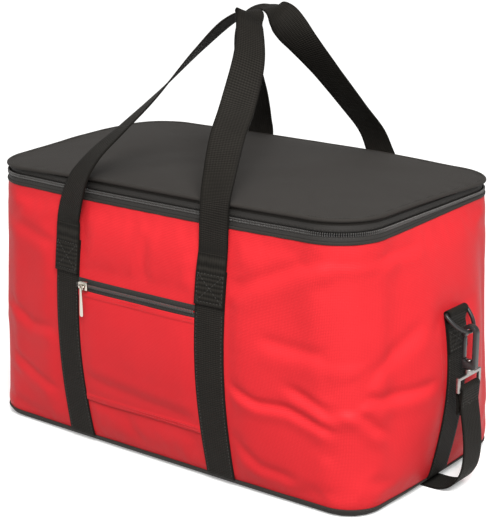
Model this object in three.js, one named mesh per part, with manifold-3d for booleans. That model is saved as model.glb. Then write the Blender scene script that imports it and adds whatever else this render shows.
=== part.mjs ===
// Insulated food bag: a soft boxy cooler with a zipped lid, two webbing handles, a zipped
// front pocket and a clip-on shoulder strap. Millimetres, +Z up, the pocket faces -Y.
// The origin is on the floor under the middle of the base.
import * as THREE from 'three';
import { mergeVertices } from 'three/addons/utils/BufferGeometryUtils.js';
import Module from 'manifold-3d';

const wasm = await Module();
wasm.setup();

// Body form: half-round bottom edge, swelling walls, rounded corners
const MOUTH_LENGTH = 516;
const MOUTH_WIDTH = 304;
const BASE_LENGTH = 543;
const BASE_WIDTH = 296;
const MOUTH_Z = 298;
const MOUTH_CORNER_R = 58;
const BASE_CORNER_R = 44;
const SIDE_BULGE = 20;
const END_BULGE = 28;
const MOUTH_BOW = 5;
const BASE_EDGE_R = 14;

// Cloth layers, from the outside in, and the gap between touching pieces
const GAP = 0.3;
const SHELL_T = 1.6;
const FOAM_T = 6;
const FOAM_DROP = 2;
const LINING_T = 1;
const LINING_DROP = 1;

// Base: stiff board with a channel for the strap that lies under the bag
const BASE_BOARD_T = 4.4;
const CHANNEL_DEPTH = 2.4;
const CHANNEL_CLEARANCE = 1.5;
const BASE_SEAM_Z = 10;
const BASE_BINDING_T = 2.2;
const BASE_BINDING_PROUD = 0.8;

// Lid and its zip
const MOUTH_BINDING_T = 1.1;
const MOUTH_BINDING_DROP = 5;
const MOUTH_BINDING_RISE = 2.5;
const ZIP_TAPE_H = 6.7;
const ZIP_COIL_H = 2;
const ZIP_COIL_PROUD = 1.2;
const ZIP_COIL_BACK = 2.6;
const LID_WALL_H = 14;
const LID_WALL_T = 1.5;
const LID_PANEL_T = 1.6;
const LID_CROWN = 4;
const LID_PIPING_D = 4;
const LID_PIPING_PROUD = 1.6;
const LID_FOAM_T = 6;

// Webbing: one width for the handles, the side strips and the shoulder strap
const WEBBING_W = 38;
const WEBBING_T = 1.8;
const HANDLE_X = 104;
const FRONT_SHIFT = -14;
const HANDLE_SHIFT_AT_LID = 0.36;
const HANDLE_TACK_Z = 250;
const HANDLE_PIVOT_RISE = 5;
const HANDLE_LID_CLEARANCE = 2.5;
const HANDLE_TOP_Z = 501;
const HANDLE_TOP_X = 28;
const HANDLE_TOP_SPLIT = 4;
const HANDLE_STEPS = 26;

// Front pocket
const POCKET_SEAM_Z = 60;
const POCKET_TOP_Z = 196;
const POCKET_CLOTH_T = 1.3;
const POCKET_TAPE_H = 13;
const POCKET_TAPE_T = 1.2;
const POCKET_COIL_H = 4;
const POCKET_COIL_T = 1.6;
const POCKET_SLIDER_X = -88;

// Zip slider and pull
const SLIDER_L = 13;
const SLIDER_H = 10;
const SLIDER_T = 1.2;
const BRIDGE_GAP = 2;
const BRIDGE_BAR = 1.4;
const BRIDGE_W = 1.8;
const BRIDGE_SPAN = 6.4;
const PULL_EYE_R = 1.4;
const PULL_EYE_WALL = 0.9;
const PULL_EYE_T = 1.4;
const POCKET_PULL_L = 34;
const MAIN_PULL_L = 15;
const PULL_W = 5;
const PULL_T = 1.2;
const MAIN_SLIDER_Y = 76;

// End clips: D-ring in a webbing tab, snap hook, gate and strap ring
const TAB_Z = 203;
const TAB_W = 34;
const TAB_WALL = 1.6;
const RING_WIRE_R = 2.2;
const RING_CLEARANCE = 0.4;
const RING_HALF_W = 21;
const RING_DEPTH = 27;
const RING_TILT = 45;
const HOOK_T = 7;
const HOOK_HALF_W = 9;
const HOOK_SLOT_HALF_W = 4.5;
const HOOK_SLOT_TOP = 3.3;
const HOOK_SLOT_L = 37;
const HOOK_BASE_H = 8;
const HOOK_CHAMFER = 2;
const HOOK_TIP_DROP = 5;
const HOOK_STUB_H = 2;
const GATE_T = 5;
const GATE_W = 3.4;
const STEM_R = 1.7;
const STEM_CLEARANCE = 0.3;
const STEM_HEAD_R = 3.2;
const STEM_HEAD_H = 1.9;
const BARREL_R = 5.5;
const BARREL_H = 5.7;
const STRAP_RING_WIRE = 3.6;
const STRAP_RING_SLOT_W = 40;
const STRAP_RING_SLOT_H = 10;
const STRAP_FLOOR_GAP = 0.2;
const STRAP_STEPS = 64;

// Layer offsets from the outer face of the wall cloth
const shellIn = -SHELL_T;
const foamOut = shellIn - GAP;
const foamIn = foamOut - FOAM_T;
const liningOut = foamIn - GAP;
const liningIn = liningOut - LINING_T;
const webbingIn = GAP;
const webbingOut = webbingIn + WEBBING_T;

// Heights up the mouth and lid
const tapeLowZ = MOUTH_Z + GAP;
const coilLowZ = tapeLowZ + ZIP_TAPE_H + GAP;
const coilSplitZ = coilLowZ + ZIP_COIL_H;
const coilHighZ = coilSplitZ + GAP;
const tapeHighZ = coilHighZ + ZIP_COIL_H + GAP;
const lidWallZ = tapeHighZ + GAP;
const lidWallTopZ = lidWallZ + LID_WALL_H - ZIP_COIL_H - 2 * GAP;
const lidPanelZ = lidWallTopZ + GAP;
const lidEdgeZ = lidPanelZ + LID_PANEL_T;
const lidFoamZ = lidPanelZ - GAP - LID_FOAM_T;
const lidLiningZ = lidFoamZ - GAP - LINING_T;
const hingeZ = coilSplitZ - GAP;

const COLOURS = {
  red: { color: 0xd8262e, roughness: 0.85, metalness: 0 },
  black: { color: 0x2b2826, roughness: 0.88, metalness: 0 },
  webbing: { color: 0x232120, roughness: 0.8, metalness: 0 },
  zip: { color: 0x2f2e2d, roughness: 0.6, metalness: 0 },
  foam: { color: 0xe9e7e0, roughness: 0.9, metalness: 0 },
  foil: { color: 0xc9ccd0, roughness: 0.3, metalness: 0.8 },
  metal: { color: 0xc6c4bf, roughness: 0.28, metalness: 1 },
  darkMetal: { color: 0x77736f, roughness: 0.4, metalness: 1 },
  plastic: { color: 0x1d1c1c, roughness: 0.45, metalness: 0 },
};

const bag = new THREE.Group();

function add(name, geometry, colour, parent = bag) {
  const mesh = new THREE.Mesh(geometry, new THREE.MeshStandardMaterial(COLOURS[colour]));
  mesh.name = name;
  parent.add(mesh);
  return mesh;
}

// Closed-body helpers

function closedBody(points, faces) {
  const volume = faces.reduce((sum, [a, b, c]) => {
    const [p, q, r] = [points[a], points[b], points[c]];
    const cx = q[1] * r[2] - q[2] * r[1];
    const cy = q[2] * r[0] - q[0] * r[2];
    const cz = q[0] * r[1] - q[1] * r[0];
    return sum + p[0] * cx + p[1] * cy + p[2] * cz;
  }, 0);
  const index = faces.flatMap(([a, b, c]) => (volume > 0 ? [a, b, c] : [a, c, b]));
  const geometry = new THREE.BufferGeometry();
  geometry.setAttribute('position', new THREE.Float32BufferAttribute(points.flat(), 3));
  geometry.setIndex(index);
  return geometry;
}

function quad(faces, a, b, c, d) {
  faces.push([a, b, c], [a, c, d]);
}

function solid(geometry) {
  const bare = geometry.clone();
  bare.deleteAttribute('normal');
  bare.deleteAttribute('uv');
  const merged = mergeVertices(bare, 1e-4);
  return new wasm.Manifold(new wasm.Mesh({
    numProp: 3,
    vertProperties: new Float32Array(merged.attributes.position.array),
    triVerts: new Uint32Array(merged.index.array),
  }));
}

function fromSolid(manifold) {
  const mesh = manifold.getMesh();
  const geometry = new THREE.BufferGeometry();
  geometry.setAttribute('position', new THREE.BufferAttribute(new Float32Array(mesh.vertProperties), 3));
  geometry.setIndex(new THREE.BufferAttribute(new Uint32Array(mesh.triVerts), 1));
  return geometry;
}

function join(...geometries) {
  return fromSolid(geometries.map(solid).reduce((a, b) => a.add(b)));
}

function extrude(shape, depth, curveSegments = 6) {
  return new THREE.ExtrudeGeometry(shape, { depth, bevelEnabled: false, curveSegments });
}

// Plate drawn in X and Z, its thickness centred on Y
function plateXZ(shape, thickness, curveSegments) {
  return extrude(shape, thickness, curveSegments).rotateX(Math.PI / 2).translate(0, thickness / 2, 0);
}

function polygon(points) {
  return new THREE.Shape(points.map(([x, y]) => new THREE.Vector2(x, y)));
}

function block(lowX, highX, lowY, highY, lowZ, highZ) {
  const box = new THREE.BoxGeometry(highX - lowX, highY - lowY, highZ - lowZ);
  return box.translate((lowX + highX) / 2, (lowY + highY) / 2, (lowZ + highZ) / 2);
}

function uprightCylinder(radius, lowZ, highZ, sides = 12) {
  const cylinder = new THREE.CylinderGeometry(radius, radius, highZ - lowZ, sides);
  return cylinder.rotateX(Math.PI / 2).translate(0, 0, (lowZ + highZ) / 2);
}

// Wall form: four swelling sides joined by round corners, at any height

const SIDES = [
  { along: [1, 0], out: [0, -1] },
  { along: [0, 1], out: [1, 0] },
  { along: [-1, 0], out: [0, 1] },
  { along: [0, -1], out: [-1, 0] },
];

function form(z) {
  const t = THREE.MathUtils.clamp(z / MOUTH_Z, 0, 1);
  const halfLength = THREE.MathUtils.lerp(BASE_LENGTH, MOUTH_LENGTH, t) / 2;
  const halfWidth = THREE.MathUtils.lerp(BASE_WIDTH, MOUTH_WIDTH, t) / 2;
  const corner = THREE.MathUtils.lerp(BASE_CORNER_R, MOUTH_CORNER_R, t);
  const swell = Math.sin(Math.PI * t);
  const rise = Math.min(z, BASE_EDGE_R);
  const tuck = BASE_EDGE_R - Math.sqrt(BASE_EDGE_R ** 2 - (BASE_EDGE_R - rise) ** 2);
  return { halfLength, halfWidth, corner, swell, tuck, t };
}

function sideOf(side, z) {
  const { halfLength, halfWidth, corner, swell, t } = form(z);
  const long = side % 2 === 0;
  return {
    half: (long ? halfLength : halfWidth) - corner,
    reach: long ? halfWidth : halfLength,
    bow: long ? MOUTH_BOW * t + SIDE_BULGE * swell : END_BULGE * swell,
    corner,
  };
}

function wallPoint(side, at, z, offset) {
  const { half, reach, bow } = sideOf(side, z);
  const { along, out } = SIDES[side];
  const u = typeof at === 'function' ? at(half) : at;
  const s = THREE.MathUtils.clamp(u / half, -1, 1);
  const bulge = bow * (1 - s ** 4) ** 2;
  const slope = (-8 * bow * s ** 3 * (1 - s ** 4)) / half;
  const length = Math.hypot(slope, 1);
  const a = u - (slope / length) * offset;
  const d = reach - form(z).tuck + bulge + offset / length;
  return [along[0] * a + out[0] * d, along[1] * a + out[1] * d, z];
}

function cornerPoint(side, degrees, z, offset) {
  const { half, reach, corner } = sideOf(side, z);
  const { along, out } = SIDES[side];
  const angle = THREE.MathUtils.degToRad(degrees);
  const r = corner - form(z).tuck + offset;
  const a = half + r * Math.sin(angle);
  const d = reach - corner + r * Math.cos(angle);
  return [along[0] * a + out[0] * d, along[1] * a + out[1] * d, z];
}

// Upright columns round the bag, shared by every layer so that the facets match
const ring = [];
const ringIndex = {};

function column(key, point) {
  ringIndex[key] = ring.length;
  ring.push(point);
}

const webIn = HANDLE_X - WEBBING_W / 2;
const webOut = HANDLE_X + WEBBING_W / 2;
const longStops = (shift) => ({
  start: (half) => -half,
  farLow: (half) => (shift - webOut - half) / 2,
  outLow: shift - webOut,
  legLow: shift - HANDLE_X,
  inLow: shift - webIn,
  nearLow: shift - webIn / 2,
  mid: shift,
  nearHigh: shift + webIn / 2,
  inHigh: shift + webIn,
  legHigh: shift + HANDLE_X,
  outHigh: shift + webOut,
  farHigh: (half) => (half + shift + webOut) / 2,
  end: (half) => half,
});
const SHORT_STOPS = {
  start: (half) => -half,
  farLow: (half) => -(half + WEBBING_W / 2) / 2,
  inLow: -WEBBING_W / 2,
  mid: 0,
  inHigh: WEBBING_W / 2,
  farHigh: (half) => (half + WEBBING_W / 2) / 2,
  end: (half) => half,
};
const CORNER_STEPS = 4;
const SIDE_STOPS = [longStops(FRONT_SHIFT), SHORT_STOPS, longStops(0), SHORT_STOPS];

for (let side = 0; side < 4; side++) {
  for (const [name, at] of Object.entries(SIDE_STOPS[side])) {
    column(`${side}:${name}`, (z, offset) => wallPoint(side, at, z, offset));
  }
  for (let i = 1; i < CORNER_STEPS; i++) {
    const degrees = (90 * i) / CORNER_STEPS;
    column(`${side}:corner${i}`, (z, offset) => cornerPoint(side, degrees, z, offset));
  }
}

function span(from, to) {
  const columns = [];
  for (let i = ringIndex[from]; ; i = (i + 1) % ring.length) {
    columns.push(ring[i]);
    if (i === ringIndex[to]) return columns;
  }
}

const pocketRise = POCKET_TOP_Z - POCKET_SEAM_Z;
const mouthBindingZ = MOUTH_Z - MOUTH_BINDING_DROP;
const WALL_LEVELS = [
  BASE_SEAM_Z, BASE_EDGE_R, POCKET_SEAM_Z, POCKET_SEAM_Z + pocketRise / 3, POCKET_SEAM_Z + (pocketRise * 2) / 3,
  POCKET_TOP_Z, HANDLE_TACK_Z, mouthBindingZ, MOUTH_Z,
];

function levels(low, high) {
  return [low, ...WALL_LEVELS.filter((z) => z > low + GAP && z < high - GAP), high];
}

// Closed sheet between two offsets of the wall form
function wallSheet(columns, heights, inner, outer, { loop = false, trim = 0 } = {}) {
  const grid = (offset) => columns.map((point) => heights.map((z) => point(z, offset)));
  const layers = [grid(outer), grid(inner)];
  const pull = (row, next) => {
    row.forEach((p, j) => {
      const q = next[j];
      const share = trim / Math.hypot(q[0] - p[0], q[1] - p[1], q[2] - p[2]);
      row[j] = p.map((value, k) => value + (q[k] - value) * share);
    });
  };
  if (!loop && trim) {
    layers.forEach((layer) => {
      pull(layer[0], layer[1]);
      pull(layer.at(-1), layer.at(-2));
    });
  }
  const rows = heights.length;
  const count = columns.length;
  const points = layers.flat(2);
  const o = (i, j) => (i % count) * rows + j;
  const n = (i, j) => count * rows + o(i, j);
  const faces = [];
  const top = rows - 1;
  for (let i = 0; i < (loop ? count : count - 1); i++) {
    for (let j = 0; j < top; j++) {
      quad(faces, o(i, j), o(i + 1, j), o(i + 1, j + 1), o(i, j + 1));
      quad(faces, n(i, j), n(i, j + 1), n(i + 1, j + 1), n(i + 1, j));
    }
    quad(faces, o(i, 0), n(i, 0), n(i + 1, 0), o(i + 1, 0));
    quad(faces, o(i, top), o(i + 1, top), n(i + 1, top), n(i, top));
  }
  if (!loop) {
    const last = count - 1;
    for (let j = 0; j < top; j++) {
      quad(faces, o(0, j), o(0, j + 1), n(0, j + 1), n(0, j));
      quad(faces, o(last, j), n(last, j), n(last, j + 1), o(last, j + 1));
    }
  }
  return closedBody(points, faces);
}

// Plate inside the wall outline, with a crown towards its middle
function outlinePlate(formZ, offset, lowZ, highZ, crown = 0) {
  const shares = crown ? [1, 0.7] : [1];
  const rim = ring.map((point) => point(formZ, offset));
  const count = rim.length;
  const points = [];
  const lift = (share) => crown * (1 - share ** 2) ** 2;
  for (const base of [lowZ, highZ]) {
    for (const share of shares) {
      rim.forEach(([x, y]) => points.push([x * share, y * share, base + lift(share)]));
    }
  }
  const layer = shares.length * count;
  const lowMid = points.push([0, 0, lowZ + lift(0)]) - 1;
  const highMid = points.push([0, 0, highZ + lift(0)]) - 1;
  const faces = [];
  for (let i = 0; i < count; i++) {
    const k = (i + 1) % count;
    quad(faces, i, k, layer + k, layer + i);
    for (let s = 0; s + 1 < shares.length; s++) {
      const [a, b] = [s * count, (s + 1) * count];
      quad(faces, layer + a + i, layer + a + k, layer + b + k, layer + b + i);
      quad(faces, a + i, b + i, b + k, a + k);
    }
    const inmost = (shares.length - 1) * count;
    faces.push([layer + inmost + i, layer + inmost + k, highMid], [inmost + k, inmost + i, lowMid]);
  }
  return closedBody(points, faces);
}

// Open-topped tray: walls between two offsets and a floor of the same thickness
function tray(heights, inner, outer, floorT) {
  const inHeights = [heights[0] + floorT, ...heights.slice(1)];
  const points = [
    ...ring.flatMap((point) => heights.map((z) => point(z, outer))),
    ...ring.flatMap((point) => inHeights.map((z) => point(z, inner))),
  ];
  const rows = heights.length;
  const count = ring.length;
  const o = (i, j) => (i % count) * rows + j;
  const n = (i, j) => count * rows + o(i, j);
  const lowMid = points.push([0, 0, heights[0]]) - 1;
  const floorMid = points.push([0, 0, inHeights[0]]) - 1;
  const faces = [];
  const top = rows - 1;
  for (let i = 0; i < count; i++) {
    for (let j = 0; j < top; j++) {
      quad(faces, o(i, j), o(i + 1, j), o(i + 1, j + 1), o(i, j + 1));
      quad(faces, n(i, j), n(i, j + 1), n(i + 1, j + 1), n(i + 1, j));
    }
    quad(faces, o(i, top), o(i + 1, top), n(i + 1, top), n(i, top));
    faces.push([o(i + 1, 0), o(i, 0), lowMid], [n(i, 0), n(i + 1, 0), floorMid]);
  }
  return closedBody(points, faces);
}

// Flat band along a path, with the direction of its width given at each point
function band(path, widths, width, thickness) {
  const points = [];
  path.forEach((p, i) => {
    const before = path[Math.max(i - 1, 0)];
    const after = path[Math.min(i + 1, path.length - 1)];
    const along = after.clone().sub(before).normalize();
    const across = widths[i].clone().addScaledVector(along, -widths[i].dot(along)).normalize();
    const face = across.clone().cross(along);
    for (const [u, v] of [[-1, -1], [1, -1], [1, 1], [-1, 1]]) {
      const corner = p.clone().addScaledVector(across, (u * width) / 2).addScaledVector(face, (v * thickness) / 2);
      points.push(corner.toArray());
    }
  });
  const faces = [];
  const last = (path.length - 1) * 4;
  for (let i = 0; i < last; i += 4) {
    for (let k = 0; k < 4; k++) {
      const m = (k + 1) % 4;
      quad(faces, i + k, i + m, i + 4 + m, i + 4 + k);
    }
  }
  quad(faces, 3, 2, 1, 0);
  quad(faces, last, last + 1, last + 2, last + 3);
  return closedBody(points, faces);
}

// Round wire bent into a closed flat loop; its flats start part of a step round, off the axes
function wireLoop(path, radius, sides, planeNormal) {
  const points = [];
  path.forEach((p, i) => {
    const before = path[(i + path.length - 1) % path.length];
    const after = path[(i + 1) % path.length];
    const along = after.clone().sub(before).normalize();
    const side = along.clone().cross(planeNormal).normalize();
    for (let k = 0; k < sides; k++) {
      const angle = (2 * Math.PI * (k + 0.3)) / sides;
      const corner = p.clone().addScaledVector(side, radius * Math.cos(angle));
      points.push(corner.addScaledVector(planeNormal, radius * Math.sin(angle)).toArray());
    }
  });
  const faces = [];
  const at = (i, k) => (i % path.length) * sides + (k % sides);
  path.forEach((_, i) => {
    for (let k = 0; k < sides; k++) quad(faces, at(i, k), at(i, k + 1), at(i + 1, k + 1), at(i + 1, k));
  });
  return closedBody(points, faces);
}

// Walls: cloth in two wraps that meet under the side strips, foam boards and one foil liner
function makeWalls() {
  const wall = levels(BASE_SEAM_Z, MOUTH_Z);
  const trim = { trim: GAP / 2 };
  add('front_panel', wallSheet(span('3:mid', '1:mid'), wall, shellIn, 0, trim), 'red');
  add('back_panel', wallSheet(span('1:mid', '3:mid'), wall, shellIn, 0, trim), 'red');
  const foam = levels(baseFoamTopZ + GAP, MOUTH_Z - FOAM_DROP);
  const mitre = [3, 0, 1, 2].map((side) => `${side}:corner${CORNER_STEPS / 2}`);
  ['front_foam', 'right_foam', 'back_foam', 'left_foam'].forEach((name, i) => {
    add(name, wallSheet(span(mitre[i], mitre[(i + 1) % 4]), foam, foamIn, foamOut, trim), 'foam');
  });
  add('lining', tray(levels(baseFoamTopZ + GAP, MOUTH_Z - LINING_DROP), liningIn, liningOut, LINING_T), 'foil');
  const binding = levels(mouthBindingZ, MOUTH_Z + MOUTH_BINDING_RISE);
  add('mouth_binding', wallSheet(ring, binding, GAP, GAP + MOUTH_BINDING_T, { loop: true }), 'black');
}

// Base: a stiff cloth-covered board, foam on it and a bound seam round its edge
const baseFoamZ = BASE_BOARD_T + GAP;
const baseFoamTopZ = baseFoamZ + FOAM_T;

function makeBase() {
  const inset = -BASE_BINDING_T - 2 * GAP;
  const board = outlinePlate(CHANNEL_DEPTH, inset, 0, BASE_BOARD_T);
  const halfChannel = WEBBING_W / 2 + CHANNEL_CLEARANCE;
  const channel = block(-BASE_LENGTH, BASE_LENGTH, -halfChannel, halfChannel, -CHANNEL_DEPTH, CHANNEL_DEPTH);
  add('base_panel', fromSolid(solid(board).subtract(solid(channel))), 'black');
  add('base_foam', outlinePlate(baseFoamZ, inset, baseFoamZ, baseFoamTopZ), 'foam');
  const top = BASE_SEAM_Z - GAP;
  const heights = [CHANNEL_DEPTH, (CHANNEL_DEPTH + top) / 2, top];
  add('base_binding', wallSheet(ring, heights, -BASE_BINDING_T, BASE_BINDING_PROUD, { loop: true }), 'black');
}

// Lid: crowned top, side wall, foam and liner, half of the zip, hinge cloth along the back
function makeLid() {
  const loop = { loop: true };
  const zipSides = span('2:end', '2:start');
  const trim = { trim: GAP };
  const wallIn = shellIn - GAP - LID_WALL_T;
  add('lid_panel', outlinePlate(MOUTH_Z, -GAP, lidPanelZ, lidEdgeZ, LID_CROWN), 'black');
  add('lid_gusset', wallSheet(ring, [lidWallZ, lidWallTopZ], wallIn, shellIn - GAP, loop), 'black');
  const pipingLow = lidEdgeZ + 1 - LID_PIPING_D;
  add('lid_binding', wallSheet(ring, [pipingLow, lidEdgeZ + 1], 0, LID_PIPING_PROUD, loop), 'black');
  add('lid_foam', outlinePlate(MOUTH_Z, wallIn - GAP, lidFoamZ, lidPanelZ - GAP), 'foam');
  add('lid_lining', outlinePlate(MOUTH_Z, wallIn - GAP, lidLiningZ, lidFoamZ - GAP), 'foil');

  const tapeTop = tapeLowZ + ZIP_TAPE_H;
  add('main_zip_lower_tape', wallSheet(zipSides, [tapeLowZ, tapeTop], shellIn, 0, trim), 'zip');
  const coil = [-ZIP_COIL_BACK, ZIP_COIL_PROUD];
  add('main_zip_lower_coil', wallSheet(zipSides, [coilLowZ, coilSplitZ], ...coil, trim), 'zip');
  add('main_zip_upper_coil', wallSheet(zipSides, [coilHighZ, tapeHighZ - GAP], ...coil, trim), 'zip');
  const upperTop = tapeHighZ + ZIP_TAPE_H;
  add('main_zip_upper_tape', wallSheet(zipSides, [tapeHighZ, upperTop], shellIn, 0, trim), 'zip');

  const back = span('2:start', '2:end');
  add('hinge_lower_cloth', wallSheet(back, [tapeLowZ, hingeZ - GAP], shellIn, 0, trim), 'black');
  add('hinge_upper_cloth', wallSheet(back, [hingeZ + GAP, upperTop], shellIn, 0, trim), 'black');
}

// Sewn webbing strips on the long sides and the ends
function makeWebbing() {
  const tall = levels(BASE_SEAM_Z, HANDLE_TACK_Z);
  const strips = {
    front_left_webbing: ['0:outLow', '0:inLow'],
    front_right_webbing: ['0:inHigh', '0:outHigh'],
    back_right_webbing: ['2:outLow', '2:inLow'],
    back_left_webbing: ['2:inHigh', '2:outHigh'],
  };
  for (const [name, ends] of Object.entries(strips)) {
    add(name, wallSheet(span(...ends), tall, webbingIn, webbingOut), 'webbing');
  }
  const short = levels(BASE_SEAM_Z, TAB_Z - tabOuterR - GAP);
  add('right_side_webbing', wallSheet(span('1:inLow', '1:inHigh'), short, webbingIn, webbingOut), 'webbing');
  add('left_side_webbing', wallSheet(span('3:inLow', '3:inHigh'), short, webbingIn, webbingOut), 'webbing');
}

// Handles: each rises from its tacks, clears the lid edge, leans in and twists flat at the top.
// The feet are straight, so that they turn about one line without meeting the swelling wall.
// Rows are shares of the way from the lid edge to the top in X, Y and Z, and the twist in degrees.
const FRONT_ARCH = [
  [0, 0, 0, 0],
  [0.07, 0.055, 0.157, 10],
  [0.21, 0.217, 0.337, 28],
  [0.39, 0.5, 0.49, 50],
  [0.6, 0.82, 0.756, 72],
  [0.82, 0.965, 0.94, 86],
  [1, 1, 1, 90],
];
const BACK_ARCH = [
  [0, 0, 0, 0],
  [0.05, 0.07, 0.14, 8],
  [0.16, 0.25, 0.34, 24],
  [0.32, 0.54, 0.6, 46],
  [0.56, 0.83, 0.83, 68],
  [0.8, 0.965, 0.96, 84],
  [1, 1, 1, 90],
];
const FRONT_DRAW_IN = 8;
const BACK_DRAW_IN = 16;
const FOOT_SHARES = [0, 0.25, 0.5];

function makeHandle(name, side, arch, drawIn) {
  const outward = SIDES[side].out[1];
  const pivotZ = HANDLE_TACK_Z + HANDLE_PIVOT_RISE;
  const centre = webbingIn + WEBBING_T / 2;
  const reach = (x, z, offset) => Math.abs(wallPoint(0, x, z, offset)[1]);
  const shift = side === 0 ? FRONT_SHIFT : 0;
  const footY = outward * reach(webIn - Math.abs(shift), pivotZ, centre);
  const edgeY = outward * reach(HANDLE_X, MOUTH_Z, LID_PIPING_PROUD + HANDLE_LID_CLEARANCE + WEBBING_T / 2);
  const topY = (outward * (WEBBING_W + HANDLE_TOP_SPLIT)) / 2;
  const edgeX = (hand) => hand * (HANDLE_X - drawIn) + shift * HANDLE_SHIFT_AT_LID;
  const leg = (hand) => [
    ...FOOT_SHARES.map((share) => [
      hand * HANDLE_X + shift, footY + (edgeY - footY) * share, pivotZ + (MOUTH_Z - pivotZ) * share,
    ]),
    ...arch.map(([x, y, z]) => [
      edgeX(hand) + (HANDLE_TOP_X - edgeX(hand)) * x,
      edgeY + (topY - edgeY) * y,
      lidEdgeZ + (HANDLE_TOP_Z - lidEdgeZ) * z,
    ]),
  ];
  const keys = [...leg(1), ...leg(-1).reverse().slice(1)].map((key) => new THREE.Vector3(...key));
  const rise = [...FOOT_SHARES.map(() => 0), ...arch.map((row) => row[3])];
  const turns = [...rise, ...rise.map((turn) => 180 - turn).reverse().slice(1)];
  const curve = new THREE.CatmullRomCurve3(keys, false, 'centripetal');
  const path = curve.getPoints(2 * HANDLE_STEPS);
  const widths = path.map((_, i) => {
    const at = (i / (2 * HANDLE_STEPS)) * (turns.length - 1);
    const low = Math.min(Math.floor(at), turns.length - 2);
    const turn = THREE.MathUtils.degToRad(THREE.MathUtils.lerp(turns[low], turns[low + 1], at - low));
    return new THREE.Vector3(Math.cos(turn), Math.sin(turn), 0);
  });
  add(name, band(path, widths, WEBBING_W, WEBBING_T), 'webbing');
}

// Zip sliders and pulls. Local frame: travel along X, outward -Y, origin on the zip's front face
const bridgeOut = GAP + SLIDER_T + BRIDGE_GAP + BRIDGE_BAR;
const pullAxisOut = bridgeOut - BRIDGE_BAR / 2;

function sliderGeometry(flangeDepth, withUpperFlange) {
  const [l, h] = [SLIDER_L / 2, SLIDER_H / 2];
  const shield = polygon([[-l, -h * 0.7], [-l * 0.5, -h], [l, -h], [l, h], [-l * 0.5, h], [-l, h * 0.7]]);
  const plate = plateXZ(shield, SLIDER_T).translate(0, -GAP - SLIDER_T / 2, 0);
  const flange = SLIDER_T;
  const lower = block(-l * 0.5, l, -GAP - SLIDER_T / 2, flangeDepth - GAP, -h, -h + flange);
  const upper = block(-l * 0.5, l, -GAP - SLIDER_T / 2, flangeDepth - GAP, h - flange, h);
  const [foot, inner] = [BRIDGE_SPAN / 2 + BRIDGE_BAR, BRIDGE_SPAN / 2];
  const base = -GAP - SLIDER_T / 2;
  const arch = polygon([
    [-foot, base], [-foot, -bridgeOut + 1], [-foot + 1, -bridgeOut], [foot - 1, -bridgeOut],
    [foot, -bridgeOut + 1], [foot, base], [inner, base], [inner, -bridgeOut + BRIDGE_BAR],
    [-inner, -bridgeOut + BRIDGE_BAR], [-inner, base],
  ].reverse());
  const bridge = extrude(arch, BRIDGE_W).translate(0, 0, -BRIDGE_W / 2);
  return withUpperFlange ? join(plate, lower, upper, bridge) : join(plate, lower, bridge);
}

function pullGeometry(length) {
  const eyeShape = new THREE.Shape().absarc(0, 0, PULL_EYE_R + PULL_EYE_WALL, 0, 2 * Math.PI);
  eyeShape.holes.push(new THREE.Path().absarc(0, 0, PULL_EYE_R, 0, 2 * Math.PI, true));
  const eye = extrude(eyeShape, PULL_EYE_T, 8).rotateY(Math.PI / 2).translate(-PULL_EYE_T / 2, 0, 0);
  const top = -PULL_EYE_R - PULL_EYE_WALL / 2;
  const [w, end] = [PULL_W / 2, top - length];
  const tab = new THREE.Shape();
  tab.moveTo(-w * 0.6, top);
  tab.lineTo(-w, end + w);
  tab.absarc(0, end + w, w, Math.PI, 2 * Math.PI);
  tab.lineTo(w * 0.6, top);
  return join(eye, plateXZ(tab, PULL_T, 4));
}

function makeZipSlider(name, group, flangeDepth, withUpperFlange, pullLength) {
  bag.add(group);
  add(`${name}_slider`, sliderGeometry(flangeDepth, withUpperFlange), 'metal', group);
  const pull = add(`${name}_pull`, pullGeometry(pullLength), 'metal', group);
  pull.position.set(0, -pullAxisOut, 0);
}

// Front pocket: cloth patch between the handle strips, closed by a short zip along its top
function makePocket() {
  const across = span('0:inLow', '0:inHigh');
  const trim = { trim: GAP };
  const cloth = levels(POCKET_SEAM_Z, POCKET_TOP_Z);
  add('pocket_panel', wallSheet(across, cloth, GAP, GAP + POCKET_CLOTH_T, trim), 'red');
  const tape = [POCKET_TOP_Z + GAP, POCKET_TOP_Z + GAP + POCKET_TAPE_H];
  add('pocket_zip_tape', wallSheet(across, tape, GAP, GAP + POCKET_TAPE_T, trim), 'zip');
  const zipZ = (tape[0] + tape[1]) / 2;
  const zipFace = wallPoint(0, 0, tape[0], GAP + POCKET_TAPE_T)[1] - GAP;
  const h = POCKET_COIL_H / 2;
  const dome = polygon([[-h, 0], [-h * 0.7, POCKET_COIL_T * 0.8], [0, POCKET_COIL_T], [h * 0.7, POCKET_COIL_T * 0.8], [h, 0]]);
  const reach = webIn - GAP * 2;
  const coil = extrude(dome, 2 * reach).rotateZ(Math.PI / 2).rotateY(Math.PI / 2).rotateX(Math.PI / 2);
  const lie = coil.computeBoundingBox() ?? coil.boundingBox;
  coil.translate(FRONT_SHIFT - (lie.min.x + lie.max.x) / 2, zipFace - lie.max.y, zipZ - (lie.min.z + lie.max.z) / 2);
  add('pocket_zip_coil', coil, 'zip');
  const slider = new THREE.Group();
  slider.position.set(POCKET_SLIDER_X, zipFace - POCKET_COIL_T, zipZ);
  makeZipSlider('pocket_zip', slider, POCKET_COIL_T + GAP, true, POCKET_PULL_L);
}

// Main zip slider, closed, on the straight left end of the mouth
function makeMainSlider() {
  const face = wallPoint(3, -MAIN_SLIDER_Y, MOUTH_Z, ZIP_COIL_PROUD);
  const slider = new THREE.Group();
  slider.position.set(face[0], MAIN_SLIDER_Y, (coilSplitZ + coilHighZ) / 2);
  slider.rotation.z = -Math.PI / 2;
  makeZipSlider('main_zip', slider, ZIP_COIL_PROUD, false, MAIN_PULL_L);
}

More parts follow.
